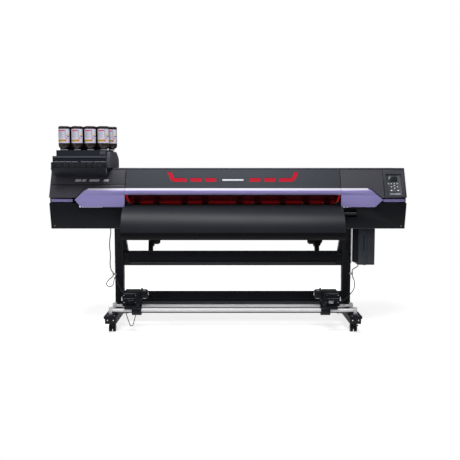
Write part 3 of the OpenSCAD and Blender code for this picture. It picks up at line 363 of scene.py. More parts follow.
def round_edges(obj, width, angle=35):
    """Applies a bevel of two segments to the sharp edges of a mesh."""
    mod = obj.modifiers.new("round", "BEVEL")
    mod.width = width
    mod.segments = 2
    mod.limit_method = "ANGLE"
    mod.angle_limit = math.radians(angle)
    mod.use_clamp_overlap = True
    mod.harden_normals = False
    depsgraph = bpy.context.evaluated_depsgraph_get()
    baked = bpy.data.meshes.new_from_object(obj.evaluated_get(depsgraph))
    obj.modifiers.clear()
    obj.data = baked


def add_box(bm, lo, hi):
    size = [b - a for a, b in zip(lo, hi)]
    mid = [(a + b) / 2 for a, b in zip(lo, hi)]
    bmesh.ops.create_cube(bm, size=1, matrix=Matrix.Translation(mid) @ Matrix.Diagonal((*size, 1)))


AXES = {
    "X": Matrix.Rotation(math.pi / 2, 4, "Y"), "-X": Matrix.Rotation(-math.pi / 2, 4, "Y"),
    "-Y": Matrix.Rotation(math.pi / 2, 4, "X"), "Z": Matrix.Identity(4)}


def add_lathe(bm, profile, at, axis="Z", sides=32, knurl=0.0):
    """A turned shape: profile is (radius, distance along the axis); knurl cuts flutes that deep."""
    frame_of = Matrix.Translation(at) @ AXES[axis]
    rings = []
    for r, h in profile:
        if r < 1e-6:
            rings.append([bm.verts.new(frame_of @ Vector((0, 0, h)))])
            continue
        radii = [r - knurl * (k % 2) for k in range(sides)]
        rings.append([bm.verts.new(frame_of @ Vector((q * math.cos(2 * math.pi * k / sides),
                                                      q * math.sin(2 * math.pi * k / sides), h)))
                      for k, q in enumerate(radii)])
    for a, b in zip(rings, rings[1:]):
        for k in range(sides):
            n = (k + 1) % sides
            corner = list(dict.fromkeys([a[k % len(a)], a[n % len(a)], b[n % len(b)], b[k % len(b)]]))
            if len(corner) > 2:
                bm.faces.new(corner)
    for ring, flip in ((rings[0], True), (rings[-1], False)):
        if len(ring) > 2:
            bm.faces.new(ring[::-1] if flip else ring)


def screw(r, side, crown, top, socket, floor):
    """Profile of a socket screw: its radius and side, crown radius and top, socket and its floor."""
    return [(r, 0), (r, side), (crown, top), (socket, top), (socket, floor), (0, floor)]


def button(r, side, crown, top):
    """Profile of a plain cap with a chamfer."""
    return [(r, 0), (r, side), (crown, top), (0, top)]


def add_prism(bm, outline, lo, hi, place):
    """Extrudes a flat outline from lo to hi; place maps (u, v, w) to a point."""
    ends = [[bm.verts.new(place(u, v, w)) for u, v in outline] for w in (lo, hi)]
    n = len(outline)
    for k in range(n):
        bm.faces.new([ends[0][k], ends[0][(k + 1) % n], ends[1][(k + 1) % n], ends[1][k]])
    bm.faces.new(ends[0][::-1])
    bm.faces.new(ends[1])


def along_x(u, v, w):
    return Vector((w, u, v))


def along_y(u, v, w):
    return Vector((u, w, v))


def along_z(u, v, w):
    return Vector((u, v, w))


def rounded(w, h, r, cx=0.0, cy=0.0, steps=4):
    """Outline of a rectangle with round corners."""
    points = []
    for sx, sy, start in ((1, 1, 0), (-1, 1, 90), (-1, -1, 180), (1, -1, 270)):
        for k in range(steps + 1):
            a = math.radians(start + 90 * k / steps)
            points.append((cx + sx * (w / 2 - r) + r * math.cos(a),
                           cy + sy * (h / 2 - r) + r * math.sin(a)))
    return points


def add_wrap(bm, centre, r, a0, a1, z0, z1, t):
    """A patch of a sheet t thick, wrapped round an upright cylinder from a0 to a1 degrees."""
    steps = max(2, int(abs(a1 - a0) / 8))
    inner, outer = [], []
    for k in range(steps + 1):
        a = math.radians(a0 + (a1 - a0) * k / steps)
        for ring, q in ((inner, r), (outer, r + t)):
            ring.append((centre[0] + q * math.cos(a), centre[1] + q * math.sin(a)))
    add_prism(bm, outer + inner[::-1], z0, z1, along_z)


def add_tube(bm, line, r, sides=12):
    """A round tube along a line of points, with its sides kept from twisting."""
    rings = []
    side = None
    for i, p in enumerate(line):
        ahead = (line[min(i + 1, len(line) - 1)] - line[max(i - 1, 0)]).normalized()
        if side is None:
            side = ahead.orthogonal().normalized()
        side = (side - ahead * side.dot(ahead)).normalized()
        up = ahead.cross(side)
        angles = [2 * math.pi * k / sides for k in range(sides)]
        rings.append([bm.verts.new(p + r * (side * math.cos(a) + up * math.sin(a))) for a in angles])
    for a, b in zip(rings, rings[1:]):
        for k in range(sides):
            bm.faces.new([a[k], a[(k + 1) % sides], b[(k + 1) % sides], b[k]])
    bm.faces.new(rings[0][::-1])
    bm.faces.new(rings[-1])


# ---------- places on the machine ----------

BAY_X = 39.0                          # middle of the print area
BAY_L, BAY_R = -811.0, 889.0          # ends of the opening front cover
LEG_X = 926.0                         # from the middle of the print area to a column
PINCH_X = [-744, -580, -355, -187, 95, 241, 445, 638, 808]
SLOPE_FOOT = Vector((-185, 1037))
SLOPE_HEAD = Vector((-73, 1268))
SLOPE_DIR = (SLOPE_HEAD - SLOPE_FOOT).normalized()
SLOPE_OUT = Vector((-SLOPE_DIR.y, SLOPE_DIR.x))
SLOPE_LEN = (SLOPE_HEAD - SLOPE_FOOT).length
BAND_TOP_S = 82.0                     # distance up the slope of the lilac band's top edge


def on_slope(x, s, out):
    """A point on the sloped front: x, distance up the slope, height above it."""
    p = SLOPE_FOOT + SLOPE_DIR * s + SLOPE_OUT * out
    return Vector((x, p.x, p.y))


def mirror_x(outline):
    """The same outline on the other side of the print area's middle."""
    return [(2 * BAY_X - u, v) for u, v in outline][::-1]


# ---------- cables ----------

CABLE_LEFT = [
    (-950, -32, 780), (-951, -32, 742), (-958, -34, 690), (-961, -35, 640), (-956, -37, 580),
    (-955, -38, 540), (-958, -39, 505), (-954, -40, 458), (-942, -40, 430), (-932, -40, 416),
    (-932, -40, 400), (-944, -44, 384), (-968, -52, 364), (-984, -60, 340), (-982, -66, 322),
    (-964, -72, 312), (-940, -74, 318), (-926, -74, 340), (-922, -74, 368), (-914, -76, 388),
    (-900, -80, 380), (-888, -90, 350), (-874, -110, 322), (-860, -138, 302), (-846, -166, 292),
    (-834, -190, 288), (-826, -197, 288), (-819, -197, 288)]
CABLE_RIGHT = [
    (1056, -40, 493), (1056, -40, 482), (1050, -40, 470), (1034, -40, 460), (1018, -40, 451),
    (1010, -40, 438), (1010, -40, 420), (1010, -40, 404), (1016, -42, 382), (1026, -48, 354),
    (1029, -56, 324), (1020, -70, 292), (998, -94, 266), (966, -128, 244), (934, -164, 228),
    (907, -200, 218), (890, -224, 214), (880, -234, 213), (868, -234, 213)]
CABLE_LOW = [
    (-806, -285, 200), (-806, -285, 180), (-801, -285, 150), (-791, -285, 116), (-780, -285, 82),
    (-771, -285, 54), (-763, -285, 40), (-752, -286, 38), (-742, -288, 50), (-735, -290, 74),
    (-728, -297, 98), (-722, -306, 118), (-720, -312, 137)]


def smooth_route(points, steps=6):
    """Catmull-Rom line through the route's points, in metres."""
    p = [Vector(q) * MM for q in points]
    line = []
    for i in range(len(p) - 1):
        a, b, c, d = p[max(i - 1, 0)], p[i], p[i + 1], p[min(i + 2, len(p) - 1)]
        for k in range(steps):
            t = k / steps
            line.append(0.5 * (2 * b + (c - a) * t + (2 * a - 5 * b + 4 * c - d) * t * t
                               + (3 * b - a - 3 * c + d) * t ** 3))
    return line + [p[-1]]


def make_cable(node, points, diameter, body=None, bend=None):
    """One cable that leaves the machine and goes back into it, in place of its plain CAD tube."""
    line = smooth_route(points)
    bm = bmesh.new()
    add_tube(bm, line, diameter / 2)
    mesh = bpy.data.meshes.new(node + "_jacket")
    bm.to_mesh(mesh)
    bm.free()
    obj = bpy.data.objects.new(node + "_jacket", mesh)
    bpy.context.collection.objects.link(obj)
    mesh.materials.append(paint("cable_black"))
    crisp(mesh)
    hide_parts(node)
    if bend:
        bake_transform(obj)
    else:
        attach(obj, body)


# ---------- CAD nodes, refined ----------

FINE_BEVEL = {
    "leg_columns": 1.5, "foot_beams": 1.5, "crossbeams": 1.5, "platen": 0.5, "left_upper_cover": 1.2,
    "left_lower_cover": 1.2, "right_console_cover": 1.2, "right_lower_cover": 1.2, "rear_cover": 0.8,
    "ink_cabinet": 1.8, "take_up_left": 1.5, "take_up_right": 1.5, "waste_tank": 1.0,
    "roll_rails": 1.0, "roll_holder_left": 1.5, "roll_holder_right": 1.5, "carriage": 1.2,
    "cutter_head": 1.0, "maintenance_station": 0.8, "side_trims": 0.8, "control_panel": 0.4,
    "chassis": 0.8, "rail_beam": 1.0, "take_up_core_left": 1.0, "take_up_core_right": 1.0,
}


def refine(node):
    """A copy of a CAD node with its hard edges rounded, shown in the node's place."""
    mesh = NODES[node].data.copy()
    bm = bmesh.new()
    bm.from_mesh(mesh)
    bmesh.ops.remove_doubles(bm, verts=bm.verts, dist=1e-5)
    bmesh.ops.dissolve_limit(bm, angle_limit=math.radians(0.8), verts=bm.verts, edges=bm.edges)
    bm.to_mesh(mesh)
    bm.free()
    obj = bpy.data.objects.new(node + "_fine", mesh)
    bpy.context.collection.objects.link(obj)
    mesh.materials.clear()
    mesh.materials.append(paint(SLOT_OF[node]))
    round_edges(obj, FINE_BEVEL[node] * MM, 40)
    crisp(obj.data, 40)
    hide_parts(node)
    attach(obj, BODY_OF[node])


def dress_nodes():
    """Refines the nodes with hard edges, and gives every other one its material."""
    for node, obj in NODES.items():
        if node.startswith("cable_"):
            continue
        if node in FINE_BEVEL:
            refine(node)
            continue
        obj.data.materials.clear()
        obj.data.materials.append(paint(SLOT_OF[node]))


# ---------- detail pieces ----------

def rect(x0, y0, x1, y1):
    """Outline of a rectangle between two corners."""
    return [(x0, y0), (x1, y0), (x1, y1), (x0, y1)]


def plates(name, mat, body, outlines, lo, hi, place, bevel=0.0):
    """Flat shapes of one thickness, made as one piece."""
    bm = bmesh.new()
    for outline in outlines:
        add_prism(bm, outline, lo, hi, place)
    finish_mesh(name, bm, mat, body, bevel)


def blocks(name, mat, body, corners, bevel=0.8):
    """Boxes with rounded edges, made as one piece."""
    bm = bmesh.new()
    for lo, hi in corners:
        add_box(bm, lo, hi)
    finish_mesh(name, bm, mat, body, bevel)


def turned(name, mat, body, profile, places, axis="Z", sides=24, knurl=0.0):
    """The same turned shape at several places, made as one piece."""
    bm = bmesh.new()
    for at in places:
        add_lathe(bm, profile, at, axis, sides, knurl)
    finish_mesh(name, bm, mat, body)


def both_sides(outlines):
    """The outlines, and their mirror images on the other side of the print area."""
    return outlines + [mirror_x(o) for o in outlines]


# Red marks on the front cover, as (x, distance up the slope), and a dark strip of painted shadow along the
# upper edge of each one, as if the mark were sunk into the cover.
HOOK = [(-482, 220.5), (-449, 220.5), (-426.5, 168), (-333, 168), (-323.6, 137), (-426.5, 137),
        (-453, 150), (-462.6, 171)]
DASHES = [[(-302.8, 168), (-213.8, 168), (-205.8, 137), (-291.7, 137)],
          [(-186.7, 168), (-97.7, 168), (-89.7, 137), (-173.2, 137)]]
EDGES = [(-482, -449, 220.5), (-426.5, -333, 168), (-302.8, -213.8, 168), (-186.7, -97.7, 168)]
TRIM_TIP_L, TRIM_TIP_R = -1204.0, 1219.0
CONSOLE_L = 1227.0                    # left edge of the console cover
END_X = 1395.0                        # from the middle of the machine to near the end of a cover
TRIM_FACE = -184.0                    # front of the lilac side trims
LOWER_FACE = -129.8                   # front of the lower covers
DECAL = (0.05, 0.4)                   # a thin film on the sloped front
LINE = (0.05, 0.3)                    # a painted line there


def dress_front_cover():
    body = "front_cover"
    plates("cover_marks", "decal_crimson", body, both_sides([HOOK] + DASHES), *DECAL, on_slope)
    shades = [rect(x0, s, x1, s + 2.4) for x0, x1, s in EDGES]
    plates("cover_mark_shades", "seam_dark", body, both_sides(shades), *DECAL, on_slope)
    plates("cover_badge", "print_mark", body, [rounded(170, 14, 6.9, BAY_X, 152)], 0.05, 0.5, on_slope, 0.15)
    # painted highlight on the top of the lilac band, as a pale thin curved strip
    pale = [(-150.4, 1109.3), (-183.0, 1097.1), (-185.6, 1095.6),
            (-185.9, 1096.2), (-183.3, 1097.7), (-150.6, 1109.9)]
    spans = [("left", "root", -1102, BAY_L - 1), ("middle", body, BAY_L + 1.5, BAY_R - 1.5),
             ("right", "root", BAY_R + 1, 1102)]
    for side, rides, x0, x1 in spans:
        plates(f"{side}_band_top_highlight", "band_painted_highlight", rides, [pale], x0, x1, along_x)
    # painted highlight: the side wings of the red window glow bright red like lit edges, though they are no
    # lamp
    wing = [(-806, 1057), (-792, 1057), (-776, 1004), (-790, 1004)]
    plates("window_wings", "red_wing_glow", body, both_sides([wing]), -175.95, -175.75, along_y)
    head = rect(BAY_L + 6, SLOPE_LEN - 13, BAY_R - 6, SLOPE_LEN - 4)
    plates("cover_head_line", "line_dark", body, [head], *LINE, on_slope)
    # painted highlight along the rounded top edge of the cover
    plates("cover_head_highlight", "pale_line_and_highlight", body,
           [rect(BAY_L + 6, SLOPE_LEN - 2, BAY_R - 6, SLOPE_LEN + 1)], -0.2, 0.3, on_slope)
    # soft stops under the handle
    pads = [((x - 9, -182, 1062.5), (x + 9, -172.5, 1065)) for x in (-700, -240, 320, 780)]
    blocks("cover_pads", "belt_rubber", body, pads)


def dress_end_covers():
    tops = [(-END_X, BAY_L - 8, "left", "root"),
            (BAY_R + 9, CONSOLE_L - 4, "middle", "maintenance_cover"),
            (CONSOLE_L + 6, END_X, "right", "root")]
    for x0, x1, side, body in tops:
        plates(f"{side}_head_line", "line_dark", body,
               [rect(x0, SLOPE_LEN - 14, x1, SLOPE_LEN - 3)], *LINE, on_slope)
        # painted highlight along the rounded top edge of each cover
        plates(f"{side}_head_highlight", "pale_line_and_highlight", body,
               [rect(x0, SLOPE_LEN - 1.6, x1, SLOPE_LEN + 1)], -0.2, 0.3, on_slope)
    seals = [(BAY_L - 4.5, BAY_L - 1.2, BAND_TOP_S, "left", "root"),
             (BAY_R + 1.2, BAY_R + 4, BAND_TOP_S, "middle", "maintenance_cover"),
             (CONSOLE_L + 1.4, CONSOLE_L + 4.6, 12, "right", "root")]
    top_z = SLOPE_HEAD.y
    for x0, x1, low, side, body in seals:
        plates(f"{side}_seal", "seam_dark", body, [rect(x0, low, x1, SLOPE_LEN - 4)],
               -1.0, 0.5, on_slope)
        plates(f"{side}_seal_top", "seam_dark", body, [rect(x0, -62, x1, 12)],
               top_z - 0.4, top_z + 0.5, along_z)
    marks = []
    for k, wide in enumerate((46, 30, 58, 22, 40)):
        x = -1212 + 56 * k
        marks.append([(x, 139), (x + wide, 139), (x + wide + 6, 158), (x + 6, 158)])
    plates("left_panel_marks", "print_mark", "root", marks, *DECAL, on_slope)
    # shut line across the left cover
    shut_z = 1138
    shut = (shut_z - SLOPE_FOOT.y) / (SLOPE_HEAD.y - SLOPE_FOOT.y) * SLOPE_LEN
    plates("left_shut_line", "seam_dark", "root", [rect(-1403, shut - 0.5, BAY_L - 5, shut + 2.6)],
           0.05, 0.25, on_slope)
    # lighter rims round the trims' chevrons
    for side, tip, sign in (("left", TRIM_TIP_L, -1), ("right", TRIM_TIP_R, 1)):
        rim = [(sign * 1155.5, 964.5), (tip - sign * 2, 1020),
               (tip - sign * 5, 1020), (sign * 1152, 964.5)]
        plates(f"{side}_trim_rim", "lilac_light", "root", [rim], TRIM_FACE - 0.4, TRIM_FACE, along_y)
    blocks("right_trim_notches", "lilac_light", "root",
           [((x - 9, TRIM_FACE - 1.2, 962), (x + 9, TRIM_FACE + 1, 966.5)) for x in (950, 1101)], 0.6)
    # lower covers: a lip along the top edge, bright as a painted highlight, and screws
    for side, x0, x1 in (("left", -1400, -830), ("right", 906, 1400)):
        blocks(f"{side}_lower_lip_highlight", "band_light", "root",
               [((x0, LOWER_FACE - 1.6, 789), (x1, LOWER_FACE, 792.4))], 0.3)
        turned(f"{side}_lower_screws", "screw_steel", "root", screw(4.2, 1.2, 3.2, 1.8, 1.6, 1.0),
               [(x, LOWER_FACE - 5.7, 812) for x in (x0 + 24, x1 - 24)], "-Y", 16)


PLATEN_TOP = 975.0
FILM = 0.25                           # thickness of a printed mark on the platen


def dress_print_area():
    # painted light: the red strip behind the pinch arms glows in place of light from behind that shines
    # through the media path; it is no lamp
    # the red comb steps over each pinch arm, which needs that room to lift
    glow_strips, comb = [], [rect(x - 31, 1037, x + 31, 1042) for x in PINCH_X]
    stops = [BAY_L - 16] + PINCH_X + [BAY_R + 16]
    for a, b in zip(stops, stops[1:]):
        glow_strips.append(((a + 30, 60.2, 979), (b - 30, 63.8, 1001)))
        comb.append(rect(a + 30, 1023, b - 30, 1042))
        count = max(2, int((b - a - 64) / 16))
        for k in range(count):
            x = a + 34 + k * (b - a - 68) / max(1, count - 1)
            comb.append(rect(x - 5.5, 1009, x + 5.5, 1024))
    blocks("backlight_glow_strip", "red_backlight_glow", "root", glow_strips, 1.0)
    carriers = [((a[0] - 2, 64, 976), (b[0] + 2, 67, 1006)) for a, b in glow_strips]
    blocks("glow_strip_carrier", "seam_dark", "root", carriers)
    # painted shade: near-black sheets behind and above the print area keep the inside seen through the red
    # window dark
    plates("rear_shade_sheet", "seam_dark", "root", [rect(-820, 982, 898, 1051)], 146, 148, along_y, 0.3)
    plates("top_shade_sheet", "seam_dark", "root", [rect(BAY_L + 4, 1033.2, BAY_R - 4, 1078)],
           61, 62, along_y, 0.2)
    # painted light: the comb glows dim red in place of light that reaches it through the red window
    plates("arm_comb", "red_comb_glow", "root", comb, 60.4, 63.6, along_y, 0.4)
    # the platen's front edge: its lilac tint is a painted reflection of the lilac band above, and its pale
    # specks are grit painted bright as glints
    plates("platen_lip", "lip_reflection_glints", "root", [rect(BAY_L + 3, -137.6, BAY_R - 3, -128)],
           PLATEN_TOP, PLATEN_TOP + 0.5, along_z, 0.15)
    ticks = [rect(-780 + 50 * k, -126, -778.8 + 50 * k, -114 if k % 2 else -106) for k in range(33)]
    plates("platen_ruler", "label_grey", "root", ticks, PLATEN_TOP, PLATEN_TOP + FILM, along_z)
    holes = [(-770 + 40 * k, y, PLATEN_TOP - 0.1) for k in range(42) for y in (-88, -48)]
    turned("vacuum_holes", "seam_dark", "root", [(2.6, 0), (2.6, 0.35)], holes, "Z", 12)
    # pale strip of the cutter's groove
    plates("cut_groove", "label_grey", "root", [rect(BAY_L + 10, -66, BAY_R - 10, -60)],
           PLATEN_TOP, PLATEN_TOP + 0.3, along_z)
    # painted shade on the apron's rolled lower edge: a near-black skin where the surface turns down and
    # under
    outer, inner = [], []
    for centre, r, a0, a1, steps in (((-122, 743), 230, 171.8, 178, 3), ((-312, 756), 40, 190, 290, 12)):
        for k in range(steps + 1):
            a = math.radians(a0 + (a1 - a0) * k / steps)
            for line, q in ((outer, r + 0.6), (inner, r - 0.5)):
                line.append((centre[0] + q * math.cos(a), centre[1] + q * math.sin(a)))
    half = 862.5
    plates("apron_roll_shade", "groove_black", "root", [outer + inner[::-1]],
           BAY_X - half, BAY_X + half, along_x)


# Each bottle's middle and the turn of its label; the hidden bottles of the rear row face backwards.
BOTTLES = [(-1277.5 + 102 * i + row * 46, -172 + row * 96, 180 if row and i < 3 else 0)
           for row in (0, 1) for i in range(4)]
BOTTLE_Z, BOTTLE_R = 1407.1, 44.0


def dress_bottles():
    def wraps(name, mat, patches, lift):
        """Patches of (start angle, end angle, low, high) on every bottle."""
        bm = bmesh.new()
        for x, y, turn in BOTTLES:
            for a0, a1, z0, z1 in patches:
                add_wrap(bm, (x, y), BOTTLE_R + lift, a0 + turn, a1 + turn,
                         BOTTLE_Z + z0, BOTTLE_Z + z1, 0.25)
        finish_mesh(name, bm, mat, "root")
    wraps("bottle_labels", "label_paper", [(-185, -12, 55, 163.6)], 0.05)
    ink = 0.3                         # printed marks lie on the paper
    wraps("label_red_lines", "label_red",
          [(-143, -65, 147, 156), (-54, -44, 106, 112), (-65, -44, 88, 95)], ink)
    lines = [(-147, -78 - 9 * (k % 3), 98 + 7 * k, 100.6 + 7 * k) for k in range(7)]
    wraps("label_text_lines", "label_grey", lines + [(-72, -60, 98, 158)], ink)
    wraps("label_yellow_spots", "dot_yellow", [(-50, -28, 114, 126)], ink)
    wraps("label_blue_spots", "dot_blue", [(-44, -22, 103, 113)], ink)
    wraps("label_gold_bands", "label_gold", [(-164, -76, 67, 82)], ink)
    wraps("label_gold_fades", "label_orange", [(-76, -58, 67, 82)], ink)
    feet = [(x, y, BOTTLE_Z) for x, y, _ in BOTTLES]
    turned("bottle_caps", "cap_lilac", "root",
           [(25.1, 0.5), (26.3, 1.4), (26.3, 8.2), (25.1, 9)], feet, "Z", 48, 0.7)
    turned("bottle_seams", "seam_dark", "root",
           [(44.0, 176), (44.25, 177), (44.25, 178.5), (43.4, 180)], feet, "Z", 40)
    blocks("tray_back", "arm_black", "root", [((-1322, -125.5, 1406), (-948, -123, 1425))], 0.8)
    rods = [(-1226.5 + 102 * k, -128, 1407) for k in range(3)]
    turned("bottle_rods", "arm_black", "root",
           [(7.5, 0), (7.5, 6), (6, 8), (6, 100), (4, 104)], rods, "Z", 20)


def dress_ink_unit():
    face, ledge_face = -225.0, -250.0
    plates("ink_band", "band_light", "root", [rect(-1359, 1347, -945, 1361)], face - 0.5, face, along_y, 0.2)
    plates("ink_line", "seam_dark", "root", [rect(-1359, 1340, -945, 1345)], face - 0.3, face, along_y)
    row = [-1350, -1302, -1254, -1206, -1136, -1088, -1036, -988]
    upper = [rounded(40, 12, 2, x + 18, 1332.5) for x in row]
    lower = [rounded(44, 7, 2, x + 18, 1318) for x in row]
    plates("ink_bay_doors", "ink_unit_black", "root", upper, face - 1.2, face, along_y, 0.4)
    plates("ink_bay_labels", "pale_line_and_highlight", "root", lower, face - 0.4, face, along_y)
    plates("ink_ledge", "ledge_dark", "root", [rect(-1364, 1271, -945, 1308)],
           ledge_face - 0.4, ledge_face, along_y, 0.15)
    dots = [(x, ledge_face - 0.3, 1292)
            for x in (-1305, -1254, -1204, -1163, -1122, -1073, -1028, -991)]
    turned("ledge_rings", "band_light", "root",
           [(11, 0), (11, 0.9), (8.4, 1.1), (8.4, 0.5), (0, 0.5)], dots, "-Y", 28)
    turned("ledge_caps", "seam_dark", "root", button(7.6, 1.4, 6.4, 2.0), dots, "-Y", 24)
    blocks("tray_latch", "band_light", "root", [((-994, -219, 1366), (-951, -215, 1399)),
                                               ((-985, -222, 1374), (-960, -218.5, 1380))], 0.8)
    skin = [(-228.5, 1269.5), (-228.5, 1310.2), (-200.5, 1390.5), (-190.2, 1396.6), (108.2, 1398.6),
            (168.4, 1374.6), (229.5, 1343.4), (236.5, 1330), (236.5, 1269.5)]
    plates("ink_end_panel", "end_panel", "root", [skin], -943.5, -917.4, along_x, 1.0)
    # painted highlight on the chamfered corner where the overhang's end meets the slope
    corner = [(-249, 1266), (-206, 1227), (-203, 1229), (-246, 1268)]
    plates("ink_corner_highlight", "pale_line_and_highlight", "root", [corner], -943.9, -941.5, along_x)
    plates("tray_deck", "ledge_dark", "root", [rect(-1330, -212, -946, -60)],
           1407, 1407.06, along_z)


PANEL_FLOOR = -8.95                   # the recessed panel, below the sloped front
# Each key's x, distance up the slope and lens radius.
KEYS = {"key_f1": (1269.5, 122, 3.2), "key_f2": (1292.5, 122, 3.2), "key_f3": (1315.5, 122, 3.2),
        "key_f4": (1338.5, 122, 3.2), "key_up": (1316, 106, 3.6), "key_left": (1292, 95, 3.6),
        "key_right": (1340, 95, 3.6), "key_down": (1316, 84, 3.6), "key_cancel": (1291, 64, 5.0),
        "key_enter": (1343, 64, 5.0)}


def dress_panel():
    screen = [(1276.7, 146), (1283, 139.5), (1339.5, 139.5), (1345.8, 146), (1345.8, 186), (1276.7, 186)]
    plates("display_glass", "display_glass", "root", [screen], PANEL_FLOOR, -8.0, on_slope, 0.3)
    plates("display_rim", "pale_line_and_highlight", "root", [rect(1276, 187, 1346.5, 188.2)],
           PANEL_FLOOR, -8.4, on_slope)
    plates("panel_light_bar", "light_bar", "root", [rounded(85, 4, 1.9, 1318.5, 35)],
           PANEL_FLOOR, -8.2, on_slope)
    plates("panel_lines", "pale_line_and_highlight", "root",
           [rect(1258, 132, 1367, 133), rect(1258, 74, 1367, 74.9)], PANEL_FLOOR, -8.8, on_slope)
    plates("panel_edge_dark", "seam_dark", "root",
           [rect(1252, 201.4, 1373, 203), rect(1371.4, 25, 1373, 203)], -6, -0.4, on_slope)
    for key, (x, s, r) in KEYS.items():
        lens = [(x + r * math.cos(math.radians(a)) * 1.3, s + r * math.sin(math.radians(a)) * 0.8)
                for a in range(0, 360, 20)]
        plates(key + "_lens", "key_lens", BODY_OF[key], [lens], -6.4, -6.15, on_slope)


COLUMN_FRONT = -25.0
BEAM_FRONT = -12.8
FOOT_END = -410.0
FOOT_TOP = 136.0
RAILS = ((-330, 167), (-144, 166))     # y and z of the take-up rails


def dress_beams(left, right):
    """End brackets, bolts, groove and lip of both crossbeams, between the inner column faces."""
    for z0, z1, tag in ((477, 592, "upper"), (152, 258, "lower")):
        brackets = [((left + 0.2, -16, z0 + 3), (left + 53, BEAM_FRONT, z1 - 3)),
                    ((right - 53, -16, z0 + 3), (right - 0.2, BEAM_FRONT, z1 - 3))]
        blocks(f"{tag}_beam_brackets", "stand_black", "root", brackets, 1.2)
        bolts = [(x, -16, z) for x in (left + 16, left + 38, right - 38, right - 16)
                 for z in (z0 + 24, z1 - 24)]
        turned(f"{tag}_beam_bolts", "lip_grey", "root", screw(5, 2.6, 4.2, 3.4, 2.3, 1.4),
               bolts, "-Y", 18)
        groove = rect(left + 54, z0 + 30, right - 54, z0 + 42)
        lip = rect(left + 54, z0 + 13, right - 54, z0 + 28)
        plates(f"{tag}_beam_groove", "groove_black", "root", [groove], -13.4, -12.95, along_y)
        # painted highlight: the raised lip is lighter grey where light falls along the beam
        plates(f"{tag}_beam_lip_highlight", "lip_grey", "root", [lip], -14.6, -12.95, along_y, 0.5)


def dress_feet(left, right):
    """Screws and end caps of the foot beams."""
    for side, x in (("left", left - 12), ("right", right + 12)):
        turned(f"{side}_foot_screws", "bezel_silver", "root", screw(4.6, 1.2, 3.6, 2.2, 1.9, 1.0),
               [(x + dx, FOOT_END, 108) for dx in (-22, 22)], "-Y", 18)
        plates(f"{side}_foot_cap", "lip_grey", "root", [rounded(74, 46, 4, x, 108)],
               FOOT_END + 0.01, FOOT_END + 0.5, along_y, 0.2)
        places = [(x + dx, y, FOOT_TOP) for dx in (-24, 24) for y in (-380, -230, 120, 260, 380)]
        turned(f"{side}_foot_top_screws", "screw_steel", "root", screw(5.2, 2, 4.2, 3, 2.2, 1.2),
               places, "Z", 18)


def dress_stand():
    left, right = BAY_X - LEG_X, BAY_X + LEG_X
    half = 34                         # half the width of a column
    dress_beams(left + half, right - half)
    for side, x, sign in (("left", left + half, 1), ("right", right - half, -1)):
        line = [Vector((x + sign * dx, -6, z)) for dx, z in ((38, 600), (25, 680), (22, 776))]
        bm = bmesh.new()
        add_tube(bm, line, 1.8, 10)
        finish_mesh(f"{side}_gusset_rod", bm, "bezel_silver", "root")
    # a thin conduit between the right column and the waste tank, with a ferrule at each end
    x, y = 1003, -20
    bm = bmesh.new()
    add_tube(bm, [Vector((x, y, z)) for z in (500, 620, 787.6)], 2.2, 12)
    for z in (498, 778):
        add_lathe(bm, [(3.2, 0), (3.2, 8), (2.4, 10)], (x, y, z), "Z", 14)
    finish_mesh("tank_conduit", bm, "bezel_silver", "root")
    # painted highlights: lighter strips along both front edges of each column
    y0, y1 = COLUMN_FRONT - 0.4, COLUMN_FRONT + 0.1
    edges = []
    for x in (left, right):
        edges += [((x - 34.2, y0, 150), (x - 31.8, y1, 776)), ((x + 30.5, y0, 150), (x + 33, y1, 776))]
    blocks("column_edge_highlights", "lip_grey", "root", edges, 0.15)
    slots = [rounded(8, 60, 3.9, x, z) for x in (left, right) for z in (320, 640)]
    plates("column_slots", "groove_black", "root", slots, y0, COLUMN_FRONT, along_y)
    dress_feet(left, right)
    cap = [(14.5, 0), (14.5, 1.4), (12, 2.6), (4, 2.6), (3, 1.4), (0, 1.4)]
    for side, x, axis in (("left", left - half, "-X"), ("right", right + half, "X")):
        turned(f"rail_caps_{side}", "bezel_silver", "root", cap, [(x, y, z) for y, z in RAILS], axis, 28)


TAKE_UP_FRONT = -320.0
CORE_AXIS = (-235, 282)               # y and z of the take-up cores
TAKE_UP_MID = 49.0                    # sum of the x of a point and its twin on the other unit


